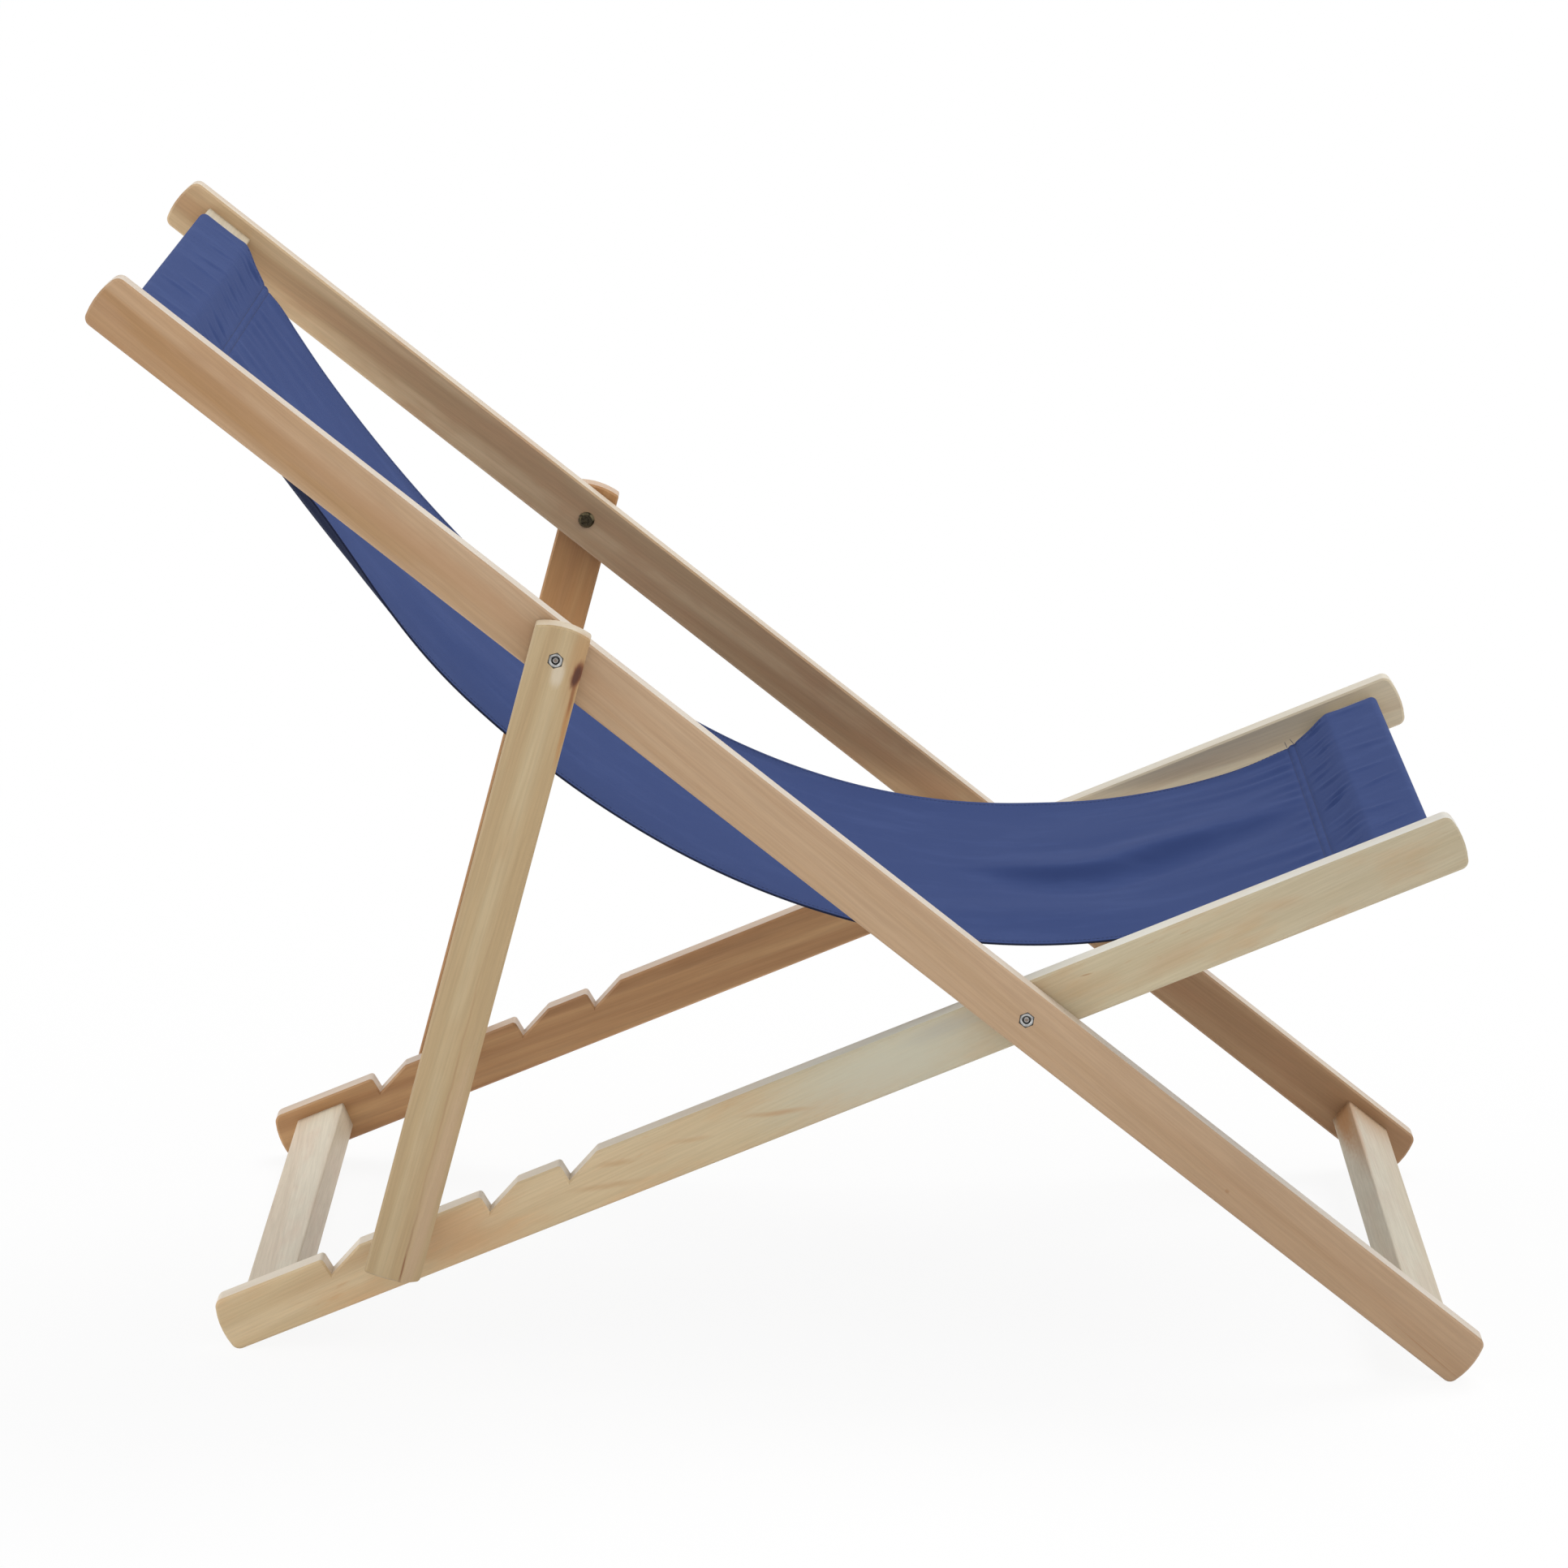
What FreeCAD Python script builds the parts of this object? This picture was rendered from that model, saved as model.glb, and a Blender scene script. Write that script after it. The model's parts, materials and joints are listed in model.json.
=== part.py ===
"""Folding deck chair: two crossed plank frames, a notched prop frame and a hanging cloth seat.

+X points to the front of the chair, +Y to the sitter's left and +Z up. The origin is on the floor,
below the middle of the chair's outline. Every plank lies in a plane of constant Y, so each one is drawn
in a frame of its own: x along the plank, z across it and y from its inner face (y = 0) outwards.
"""
import FreeCAD
import Part
import Sketcher
import math
import os

# Driving dimensions: millimetres, unless a name says that it is a count.
SIZES = {
    "plank_thickness": 22.0,
    "plank_width": 42.0,
    "edge_ease": 1.6,
    "end_arc_radius": 57.0,
    "end_corner_round": 7.0,
    "seat_inside_width": 480.0,
    "washer_thickness": 1.0,
    "washer_diameter": 18.0,
    # Lengths of the two crossed frames, measured from the main pivot along the rails.
    "back_above_pivot": 868.0,
    "back_below_pivot": 432.0,
    "seat_behind_pivot": 656.0,
    "seat_before_pivot": 350.0,
    # Cross members, measured from the end of the rails to the middle of the bar.
    "top_bar_inset": 46.0,
    "foot_bar_inset": 47.5,
    "front_bar_inset": 42.0,
    "rear_bar_inset": 41.0,
    "bar_edge_round": 1.5,
    "tenon_width": 30.0,
    "tenon_thickness": 10.0,
    "tenon_length": 14.0,
    "socket_end_gap": 0.5,
    # Prop frame: two legs hung on the back rails and a round bar that rests in the notches.
    "prop_bolt_reach": 444.0,
    "prop_above_bolt": 25.5,
    "prop_below_bar": 33.2,
    "prop_foot_arc_radius": 200.0,
    "prop_corner_round": 2.5,
    "prop_bar_distance": 457.2,
    "prop_bar_forward": 5.0,
    "prop_bar_diameter": 18.0,
    "prop_bar_in_leg": 14.0,
    "prop_bevel_length": 285.0,
    "prop_bevel_width": 13.0,
    # Notches in the top edge of the seat rails, counted from the rear.
    "notch_count": 4,
    "notch_in_use_count": 2,
    "notch_rear_inset": 94.3,
    "notch_pitch": 65.0,
    "notch_depth": 13.6,
    "notch_ramp_run": 28.0,
    "notch_wall_lean": 2.0,
    "notch_lip_round": 3.0,
    "notch_clearance": 0.5,
    # Bolts with a low round head inside and a sunk hexagonal nut outside.
    "bolt_diameter": 6.0,
    "bolt_head_diameter": 13.0,
    "bolt_head_height": 3.2,
    "bolt_head_bevel": 1.8,
    "bolt_socket_width": 4.0,
    "bolt_socket_depth": 1.8,
    "bolt_tip_bevel": 1.2,
    "bolt_tip_sunk": 0.6,
    "nut_width": 10.0,
    "nut_height": 5.0,
    "nut_proud": 0.3,
    "nut_bevel_width": 9.4,
    "nut_countersink": 0.7,
    "fit_gap": 0.05,
    "nut_gap": 0.35,
    # Cloth: hangs between two seams, with a sewn pocket round the top bar and the front bar.
    "sling_side_gap": 5.0,
    "cloth_thickness": 1.2,
    "pocket_gap": 0.3,
    "sling_slack": 96.0,
    "top_seam_reach": 55.0,
    "top_seam_drop": 5.0,
    "front_seam_reach": 56.0,
    "front_seam_drop": 1.0,
}
SLING_SPANS = 14
VALUES = dict(SIZES)
NODES = []


def bar_places():
    """Distances from a pivot to the bars, the notches and the foot of the prop, and the cloth's width."""
    drop = math.sqrt(SIZES["prop_bar_distance"] ** 2 - SIZES["prop_bar_forward"] ** 2)
    return {
        "top_bar_reach": SIZES["back_above_pivot"] - SIZES["top_bar_inset"],
        "foot_bar_reach": SIZES["back_below_pivot"] - SIZES["foot_bar_inset"],
        "front_bar_reach": SIZES["seat_before_pivot"] - SIZES["front_bar_inset"],
        "rear_bar_reach": SIZES["seat_behind_pivot"] - SIZES["rear_bar_inset"],
        "notch_last_reach": SIZES["seat_behind_pivot"] - SIZES["notch_rear_inset"],
        "prop_bar_drop": drop,
        "prop_below_bolt": drop + SIZES["prop_below_bar"],
        "sling_width": SIZES["seat_inside_width"] - 2 * SIZES["sling_side_gap"],
    }


def corner_centre(reach):
    """Distance from the pivot to the centre of the rounded corner of a plank end."""
    big = SIZES["end_arc_radius"]
    small = SIZES["end_corner_round"]
    inset = SIZES["plank_width"] / 2 - small
    return reach - big + math.sqrt((big - small) ** 2 - inset ** 2)


def prop_bar_seat():
    """Centre of the prop bar in the seat rail's frame, when it rests in the notch in use."""
    ramp = math.atan2(SIZES["notch_depth"], SIZES["notch_ramp_run"])
    wall = math.pi / 2 + math.atan2(SIZES["notch_wall_lean"], SIZES["notch_depth"])
    middle = (ramp + wall) / 2
    lift = (SIZES["prop_bar_diameter"] / 2 + SIZES["notch_clearance"]) / math.sin((wall - ramp) / 2)
    apex_x = (SIZES["notch_in_use_count"] - 1) * SIZES["notch_pitch"] - VALUES["notch_last_reach"]
    apex_z = SIZES["plank_width"] / 2 - SIZES["notch_depth"]
    return apex_x + lift * math.cos(middle), apex_z + lift * math.sin(middle)


def stance():
    """Angles and places that follow from the prop's notch and from both feet on the floor."""
    bar_x, bar_z = prop_bar_seat()
    reach = math.hypot(bar_x, bar_z)
    arm = SIZES["prop_bolt_reach"]
    prop = SIZES["prop_bar_distance"]
    opening = math.acos((arm ** 2 + reach ** 2 - prop ** 2) / (2 * arm * reach)) + math.atan2(bar_z, -bar_x)

    corner = SIZES["end_corner_round"]
    inset = SIZES["plank_width"] / 2 - corner
    back_foot = corner_centre(SIZES["back_below_pivot"])
    seat_foot = corner_centre(SIZES["seat_behind_pivot"])
    back_dip = math.atan2(inset, back_foot)
    seat_dip = math.atan2(inset, seat_foot)
    back_radius = math.hypot(back_foot, inset)
    seat_radius = math.hypot(seat_foot, inset)
    total = opening + back_dip + seat_dip
    lean = math.atan2(seat_radius * math.sin(total), back_radius + seat_radius * math.cos(total))
    back = lean - back_dip
    seat = opening - back

    rear = corner_centre(SIZES["back_above_pivot"]) * math.cos(back) + inset * math.sin(back) + corner
    toe = back_foot * math.cos(back) + inset * math.sin(back) + corner
    knee = corner_centre(SIZES["seat_before_pivot"]) * math.cos(seat) + inset * math.sin(seat) + corner
    pivot_x = (rear - max(toe, knee)) / 2
    pivot_z = back_radius * math.sin(lean) + corner

    bolt_x = -arm * math.cos(back)
    bolt_z = arm * math.sin(back)
    rest_x = bar_x * math.cos(seat) - bar_z * math.sin(seat)
    rest_z = bar_x * math.sin(seat) + bar_z * math.cos(seat)
    forward = math.asin(SIZES["prop_bar_forward"] / prop)
    leg = forward - math.atan2(rest_z - bolt_z, rest_x - bolt_x)
    half = SIZES["seat_inside_width"] / 2
    step = SIZES["plank_thickness"] + SIZES["washer_thickness"]
    return {
        "back_angle": math.degrees(back),
        "seat_angle": -math.degrees(seat),
        "prop_angle": math.degrees(leg),
        "pivot_x": pivot_x,
        "pivot_z": pivot_z,
        "prop_bolt_x": pivot_x + bolt_x,
        "prop_bolt_z": pivot_z + bolt_z,
        "seat_half": half,
        "back_half": half + step,
        "prop_half": half + 2 * step,
    }


def fill_sheet(doc):
    """Spreadsheet with one named cell for each driving dimension and each value that follows from them."""
    VALUES.update(bar_places())
    VALUES.update(stance())
    sheet = doc.addObject("Spreadsheet::Sheet", "Sizes")
    for row, (alias, value) in enumerate(VALUES.items(), 1):
        sheet.set(f"A{row}", alias)
        sheet.set(f"B{row}", str(value))
        sheet.setAlias(f"B{row}", alias)
    doc.recompute()


def keep(item, label):
    """Marks an object as a finished piece of the chair."""
    item.Label = label
    NODES.append(item)
    return item


def place(item, frame, depth="0"):
    """Puts a piece into the seat, back or prop frame, with its own y = 0 at the given depth."""
    anchor = "prop_bolt" if frame == "prop" else "pivot"
    item.Placement = FreeCAD.Placement(FreeCAD.Vector(), FreeCAD.Rotation(FreeCAD.Vector(0, 1, 0), 1))
    item.setExpression("Placement.Rotation.Angle", f"Sizes.{frame}_angle * 1 deg")
    item.setExpression("Placement.Base.x", f"Sizes.{anchor}_x * 1 mm")
    item.setExpression("Placement.Base.y", f"({depth}) * 1 mm")
    item.setExpression("Placement.Base.z", f"Sizes.{anchor}_z * 1 mm")


def new_body(doc, name):
    return doc.addObject("PartDesign::Body", name)


def origin_item(body, role):
    return next(item for item in body.Origin.OriginFeatures if item.Role == role)


def new_sketch(body, name, lift=None, role="XZ_Plane"):
    """Sketch on a plane of constant y (normal towards -y), or on another origin plane, lifted off it."""
    sketch = body.newObject("Sketcher::SketchObject", name)
    sketch.AttachmentSupport = [(origin_item(body, role), "")]
    sketch.MapMode = "FlatFace"
    if lift:
        sketch.setExpression("AttachmentOffset.Base.z", f"({lift}) * 1 mm")
    return sketch


def dimension(sketch, name, formula, *constraint):
    """Adds a dimension to a sketch and binds it to a formula of the sheet."""
    index = sketch.addConstraint(Sketcher.Constraint(*constraint))
    sketch.renameConstraint(index, name)
    sketch.setExpression(f"Constraints.{name}", f"({formula}) * 1 mm")


def circle(sketch, name, radius, radius_formula, x=0.0, x_formula=None, z=0.0, z_formula=None):
    """Circle whose radius and centre are bound; a centre without a formula stays on that axis."""
    index = sketch.addGeometry(Part.Circle(FreeCAD.Vector(x, z, 0), FreeCAD.Vector(0, 0, 1), radius))
    dimension(sketch, f"{name}_radius", radius_formula, "Radius", index, radius)
    for axis, kind, value, formula in ((-2, "DistanceX", x, x_formula), (-1, "DistanceY", z, z_formula)):
        if formula is None:
            sketch.addConstraint(Sketcher.Constraint("PointOnObject", index, 3, axis))
        elif value < 0:
            dimension(sketch, f"{name}_{kind}", formula, kind, index, 3, -1, 1, -value)
        else:
            dimension(sketch, f"{name}_{kind}", formula, kind, -1, 1, index, 3, value)


def closed_lines(sketch, points):
    """Closed run of straight lines through the points; gives the index of the first line."""
    first = len(sketch.Geometry)
    count = len(points)
    for i in range(count):
        start = FreeCAD.Vector(*points[i], 0)
        end = FreeCAD.Vector(*points[(i + 1) % count], 0)
        sketch.addGeometry(Part.LineSegment(start, end))
    for i in range(count):
        sketch.addConstraint(Sketcher.Constraint("Coincident", first + i, 2, first + (i + 1) % count, 1))
    return first


def hexagon(sketch, across, across_formula):
    """Regular hexagon about the origin, two corners on the sketch's x axis."""
    radius = across / math.sqrt(3)
    corners = [(radius * math.cos(k * math.pi / 3), radius * math.sin(k * math.pi / 3)) for k in range(6)]
    first = closed_lines(sketch, corners)
    rim = sketch.addGeometry(Part.Circle(FreeCAD.Vector(), FreeCAD.Vector(0, 0, 1), radius), True)
    sketch.addConstraint(Sketcher.Constraint("Coincident", rim, 3, -1, 1))
    for k in range(6):
        sketch.addConstraint(Sketcher.Constraint("PointOnObject", first + k, 1, rim))
    for k in range(1, 5):
        sketch.addConstraint(Sketcher.Constraint("Equal", first, first + k))
    sketch.addConstraint(Sketcher.Constraint("PointOnObject", first, 1, -1))
    dimension(sketch, "corner", f"({across_formula}) / sqrt(3)", "Radius", rim, radius)


def pad(body, sketch, name, length, reverse=False, symmetric=False):
    feature = body.newObject("PartDesign::Pad", name)
    feature.Profile = sketch
    feature.Reversed = reverse
    if symmetric:
        feature.SideType = "Symmetric"
    feature.setExpression("Length", f"({length}) * 1 mm")
    return feature


def pocket(body, sketch, name, depth=None, reverse=False):
    """Cut of a given depth towards +y (-y if reversed), or through everything."""
    feature = body.newObject("PartDesign::Pocket", name)
    feature.Profile = sketch
    feature.Reversed = reverse
    if depth is None:
        feature.SideType = "Symmetric"
        feature.Type = "ThroughAll"
    else:
        feature.setExpression("Length", f"({depth}) * 1 mm")
    return feature


def dress(body, base, name, kind, size, test):
    """Rounds (Fillet) or bevels (Chamfer) the edges of a feature that pass the test."""
    body.Document.recompute()
    edges = [f"Edge{i}" for i, edge in enumerate(base.Shape.Edges, 1) if test(edge)]
    feature = body.newObject(f"PartDesign::{kind}", name)
    feature.Base = (base, edges)
    feature.setExpression("Radius" if kind == "Fillet" else "Size", f"({size}) * 1 mm")
    body.Document.recompute()
    return feature


def soften(body, base, name, radius, test):
    return dress(body, base, name, "Fillet", radius, test)


def bevel(body, base, name, size, test):
    return dress(body, base, name, "Chamfer", size, test)


def is_across(edge):
    """True for a straight edge that runs through the thickness of a plank."""
    ends = [vertex.Point for vertex in edge.Vertexes]
    return len(ends) == 2 and (ends[1] - ends[0]).cross(FreeCAD.Vector(0, 1, 0)).Length < 1e-6


def is_rim(edge):
    """True for an edge of the plank's outline that lies in one of its two wide faces."""
    box = edge.BoundBox
    hole = isinstance(edge.Curve, Part.Circle) and len(edge.Vertexes) == 1
    return box.YLength < 1e-6 and not hole


def plank(doc, name, behind, ahead, front_arc="end_arc_radius", corner="end_corner_round"):
    """Plank from x = -behind to x = +ahead with bowed ends and rounded corners; its rims are still sharp."""
    width = VALUES["plank_width"]
    bow = VALUES["end_arc_radius"]
    front_bow = VALUES[front_arc]
    spread = math.asin(width / 2 / bow)
    front_spread = math.asin(width / 2 / front_bow)
    low = -VALUES[behind] + bow - bow * math.cos(spread)
    high = VALUES[ahead] - front_bow + front_bow * math.cos(front_spread)
    up = FreeCAD.Vector(0, 0, 1)
    body = new_body(doc, name)
    sketch = new_sketch(body, f"{name}_outline")
    front = Part.Circle(FreeCAD.Vector(VALUES[ahead] - front_bow, 0, 0), up, front_bow)
    rear = Part.Circle(FreeCAD.Vector(bow - VALUES[behind], 0, 0), up, bow)
    upper = Part.LineSegment(FreeCAD.Vector(low, width / 2, 0), FreeCAD.Vector(high, width / 2, 0))
    lower = Part.LineSegment(FreeCAD.Vector(high, -width / 2, 0), FreeCAD.Vector(low, -width / 2, 0))
    sketch.addGeometry(upper)
    sketch.addGeometry(Part.ArcOfCircle(front, -front_spread, front_spread))
    sketch.addGeometry(lower)
    sketch.addGeometry(Part.ArcOfCircle(rear, math.pi - spread, math.pi + spread))
    for ends in ((0, 2, 1, 2), (1, 1, 2, 1), (2, 2, 3, 2), (3, 1, 0, 1)):
        sketch.addConstraint(Sketcher.Constraint("Coincident", *ends))
    for line in (0, 2):
        sketch.addConstraint(Sketcher.Constraint("Horizontal", line))
    for arc in (1, 3):
        sketch.addConstraint(Sketcher.Constraint("PointOnObject", arc, 3, -1))
    dimension(sketch, "above", "Sizes.plank_width / 2", "DistanceY", -1, 1, 0, 1, width / 2)
    dimension(sketch, "below", "Sizes.plank_width / 2", "DistanceY", 2, 1, -1, 1, width / 2)
    dimension(sketch, "front_bow", f"Sizes.{front_arc}", "Radius", 1, front_bow)
    dimension(sketch, "rear_bow", "Sizes.end_arc_radius", "Radius", 3, bow)
    dimension(sketch, "front_end", f"Sizes.{ahead} - Sizes.{front_arc}",
              "DistanceX", -1, 1, 1, 3, VALUES[ahead] - front_bow)
    dimension(sketch, "span", f"Sizes.{behind} + Sizes.{ahead} - Sizes.end_arc_radius - Sizes.{front_arc}",
              "DistanceX", 3, 3, 1, 3, VALUES[behind] + VALUES[ahead] - bow - front_bow)
    slab = pad(body, sketch, f"{name}_slab", "Sizes.plank_thickness")
    return body, soften(body, slab, f"{name}_corners", f"Sizes.{corner}", is_across)


def bolt_hole(body, name, x=0.0, x_formula=None):
    """Hole right through a plank for a bolt."""
    sketch = new_sketch(body, f"{name}_sketch")
    radius = VALUES["bolt_diameter"] / 2 + VALUES["fit_gap"]
    circle(sketch, "hole", radius, "Sizes.bolt_diameter / 2 + Sizes.fit_gap", x, x_formula)
    return pocket(body, sketch, name)


def nut_recess(body, name):
    """Hexagonal recess in the outer face that a nut is sunk into."""
    sketch = new_sketch(body, f"{name}_sketch", "Sizes.plank_thickness")
    hexagon(sketch, VALUES["nut_width"] + 2 * VALUES["nut_gap"], "Sizes.nut_width + 2 * Sizes.nut_gap")
    return pocket(body, sketch, name, "Sizes.nut_height - Sizes.nut_proud")


def centred_box(sketch, reach, sign, wide, wide_formula, deep, deep_formula):
    """Rectangle on the centre line of a rail, its middle at a bar's distance from the pivot."""
    middle = sign * VALUES[reach]
    corners = [(middle + x * wide / 2, z * deep / 2) for x, z in ((-1, -1), (1, -1), (1, 1), (-1, 1))]
    first = closed_lines(sketch, corners)
    for line in (first, first + 2):
        sketch.addConstraint(Sketcher.Constraint("Horizontal", line))
    for line in (first + 1, first + 3):
        sketch.addConstraint(Sketcher.Constraint("Vertical", line))
    dimension(sketch, "above", f"({deep_formula}) / 2", "DistanceY", -1, 1, first + 2, 1, deep / 2)
    dimension(sketch, "below", f"({deep_formula}) / 2", "DistanceY", first, 1, -1, 1, deep / 2)
    dimension(sketch, "width", wide_formula, "DistanceX", first, 1, first, 2, wide)
    if sign > 0:
        dimension(sketch, "reach", f"Sizes.{reach} - ({wide_formula}) / 2",
                  "DistanceX", -1, 1, first, 1, middle - wide / 2)
    else:
        dimension(sketch, "reach", f"Sizes.{reach} + ({wide_formula}) / 2",
                  "DistanceX", first, 1, -1, 1, wide / 2 - middle)


def mortise(body, name, reach, sign):
    """Blind slot in the inner face of a rail for the tenon of a bar."""
    sketch = new_sketch(body, f"{name}_sketch")
    gap = 2 * VALUES["fit_gap"]
    centred_box(sketch, reach, sign,
                VALUES["tenon_width"] + gap, "Sizes.tenon_width + 2 * Sizes.fit_gap",
                VALUES["tenon_thickness"] + gap, "Sizes.tenon_thickness + 2 * Sizes.fit_gap")
    return pocket(body, sketch, name, "Sizes.tenon_length + Sizes.socket_end_gap", True)


def notches(body):
    """Row of saw-tooth notches in the top edge: a steep wall at the rear and a long ramp in front."""
    top = VALUES["plank_width"] / 2
    apex = -VALUES["notch_last_reach"]
    depth = VALUES["notch_depth"]
    rise = 2.0
    wall_x = apex - VALUES["notch_wall_lean"] * (depth + rise) / depth
    ramp_x = apex + VALUES["notch_ramp_run"] * (depth + rise) / depth
    sketch = new_sketch(body, "notch_sketch")
    first = closed_lines(sketch, [(apex, top - depth), (ramp_x, top + rise), (wall_x, top + rise)])
    over = f"(1 + {rise} / Sizes.notch_depth)"
    sketch.addConstraint(Sketcher.Constraint("Horizontal", first + 1))
    dimension(sketch, "reach", "Sizes.notch_last_reach", "DistanceX", first, 1, -1, 1, -apex)
    dimension(sketch, "height", "Sizes.plank_width / 2 - Sizes.notch_depth",
              "DistanceY", -1, 1, first, 1, top - depth)
    dimension(sketch, "rise", f"Sizes.notch_depth + {rise}", "DistanceY", first, 1, first, 2, depth + rise)
    dimension(sketch, "ramp", f"Sizes.notch_ramp_run * {over}",
              "DistanceX", first, 1, first, 2, ramp_x - apex)
    dimension(sketch, "wall", f"Sizes.notch_wall_lean * {over}",
              "DistanceX", first + 2, 1, first, 1, apex - wall_x)
    cut = pocket(body, sketch, "notch")
    body.Document.recompute()
    row = body.newObject("PartDesign::LinearPattern", "notch_row")
    row.Originals = [cut]
    row.Direction = (origin_item(body, "X_Axis"), [""])
    row.setExpression("Length", "(Sizes.notch_count - 1) * Sizes.notch_pitch * 1 mm")
    row.setExpression("Occurrences", "Sizes.notch_count")
    body.Tip = row

    roots = [apex + k * VALUES["notch_pitch"] for k in range(VALUES["notch_count"])]
    lips = [x - VALUES["notch_wall_lean"] for x in roots] + [x + VALUES["notch_ramp_run"] for x in roots]

    def is_lip(edge):
        at_top = abs(edge.CenterOfMass.z - top) < 0.01
        return is_across(edge) and at_top and min(abs(edge.CenterOfMass.x - x) for x in lips) < 0.01

    return soften(body, row, "notch_lips", "Sizes.notch_lip_round", is_lip)


def mirrored(doc, source, name):
    """Mirror image of a piece on the chair's other side."""
    image = doc.addObject("Part::Mirroring", name)
    image.Source = source
    image.Normal = FreeCAD.Vector(0, 1, 0)
    return image


def add_seat_rails(doc):
    body, shape = plank(doc, "seat_rail_right", "seat_behind_pivot", "seat_before_pivot")
    shape = notches(body)
    bevel(body, shape, "seat_rail_edges", "Sizes.edge_ease", is_rim)
    bolt_hole(body, "seat_pivot_hole")
    mortise(body, "seat_front_mortise", "front_bar_reach", 1)
    mortise(body, "seat_rear_mortise", "rear_bar_reach", -1)
    place(body, "seat", "-Sizes.seat_half")
    keep_pair(doc, body, "seat_rail")


def add_back_rails(doc):
    body, shape = plank(doc, "back_rail_right", "back_above_pivot", "back_below_pivot")
    bevel(body, shape, "back_rail_edges", "Sizes.edge_ease", is_rim)
    bolt_hole(body, "back_pivot_hole")
    bolt_hole(body, "back_prop_hole", -VALUES["prop_bolt_reach"], "Sizes.prop_bolt_reach")
    nut_recess(body, "back_nut_recess")
    mortise(body, "back_top_mortise", "top_bar_reach", -1)
    mortise(body, "back_foot_mortise", "foot_bar_reach", 1)
    place(body, "back", "-Sizes.back_half")
    keep_pair(doc, body, "back_rail")


def add_prop_legs(doc):
    """Legs whose outer front edge is planed away towards the foot."""
    body, shape = plank(doc, "prop_leg_blank", "prop_above_bolt", "prop_below_bolt",
                        front_arc="prop_foot_arc_radius", corner="prop_corner_round")
    bevel(body, shape, "prop_leg_edges", "Sizes.edge_ease", is_rim)
    bolt_hole(body, "prop_hole")
    nut_recess(body, "prop_nut_recess")
    sketch = new_sketch(body, "prop_socket_sketch")
    circle(sketch, "socket", VALUES["prop_bar_diameter"] / 2 + VALUES["fit_gap"],
           "Sizes.prop_bar_diameter / 2 + Sizes.fit_gap",
           VALUES["prop_bar_distance"], "Sizes.prop_bar_drop",
           VALUES["prop_bar_forward"], "Sizes.prop_bar_forward")
    pocket(body, sketch, "prop_socket", "Sizes.prop_bar_in_leg + Sizes.socket_end_gap", True)

    # Slim pyramid on the arris: its point is where the bevel starts, its base is beyond the foot.
    plane = doc.addObject("Part::Wedge", "prop_leg_bevel")
    over = 1.1
    half = f"Sizes.prop_bevel_width * {over} / sqrt(2)"
    for name, formula in (("Xmin", f"-({half})"), ("Xmax", half), ("Zmin", f"-({half})"), ("Zmax", half),
                          ("X2min", "0"), ("X2max", "0"), ("Z2min", "0"), ("Z2max", "0"),
                          ("Ymin", "0"), ("Ymax", f"Sizes.prop_bevel_length * {over}")):
        plane.setExpression(name, f"({formula}) * 1 mm")
    upright = FreeCAD.Rotation(FreeCAD.Vector(0, 0, 1), 90)
    turned = FreeCAD.Rotation(FreeCAD.Vector(1, 0, 0), 45)
    plane.Placement.Rotation = turned * upright
    foot = f"Sizes.prop_below_bolt + Sizes.prop_bevel_length * {over - 1}"
    plane.setExpression("Placement.Base.x", f"({foot}) * 1 mm")
    plane.setExpression("Placement.Base.y", "-Sizes.plank_thickness * 1 mm")
    plane.setExpression("Placement.Base.z", "Sizes.plank_width / 2 * 1 mm")

    leg = doc.addObject("Part::Cut", "prop_leg_right")
    leg.Base = body
    leg.Tool = plane
    place(leg, "prop", "-Sizes.prop_half")
    keep_pair(doc, leg, "prop_leg")


def add_bar(doc, label, frame, reach, sign):
    """Cross bar on the centre line between two rails, with a shouldered tenon at each end."""
    body = new_body(doc, label)
    section = new_sketch(body, f"{label}_section")
    centred_box(section, reach, sign, VALUES["plank_width"], "Sizes.plank_width",
                VALUES["plank_thickness"], "Sizes.plank_thickness")
    beam = pad(body, section, f"{label}_beam", f"2 * Sizes.{frame}_half", symmetric=True)
    soften(body, beam, f"{label}_edges", "Sizes.bar_edge_round", is_across)
    tongue = new_sketch(body, f"{label}_tenon_sketch")
    centred_box(tongue, reach, sign, VALUES["tenon_width"], "Sizes.tenon_width",
                VALUES["tenon_thickness"], "Sizes.tenon_thickness")
    pad(body, tongue, f"{label}_tenons", f"2 * (Sizes.{frame}_half + Sizes.tenon_length)", symmetric=True)
    place(body, frame)
    keep(body, label)


def add_prop_bar(doc):
    """Round bar between the prop legs, glued into their sockets."""
    bar = doc.addObject("Part::Cylinder", "prop_bar_rod")
    bar.setExpression("Radius", "Sizes.prop_bar_diameter / 2 * 1 mm")
    bar.setExpression("Height", "2 * (Sizes.prop_half + Sizes.prop_bar_in_leg) * 1 mm")
    bar.Placement.Rotation = FreeCAD.Rotation(FreeCAD.Vector(1, 0, 0), 90)
    bar.setExpression("Placement.Base.x", "Sizes.prop_bar_drop * 1 mm")
    bar.setExpression("Placement.Base.y", "(Sizes.prop_half + Sizes.prop_bar_in_leg) * 1 mm")
    bar.setExpression("Placement.Base.z", "Sizes.prop_bar_forward * 1 mm")
    eased = doc.addObject("Part::Chamfer", "prop_bar")
    eased.Base = bar
    doc.recompute()
    rims = [i for i, edge in enumerate(bar.Shape.Edges, 1) if len(edge.Vertexes) == 1]
    eased.Edges = [(i, 1.0, 1.0) for i in rims]
    place(eased, "prop")
    keep(eased, "prop_bar")


def keep_pair(doc, body, label):
    """Keeps a piece of the right side and its mirror image on the left."""
    keep(body, f"{label}_right")
    keep(mirrored(doc, body, f"{label}_left"), f"{label}_left")


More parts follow.
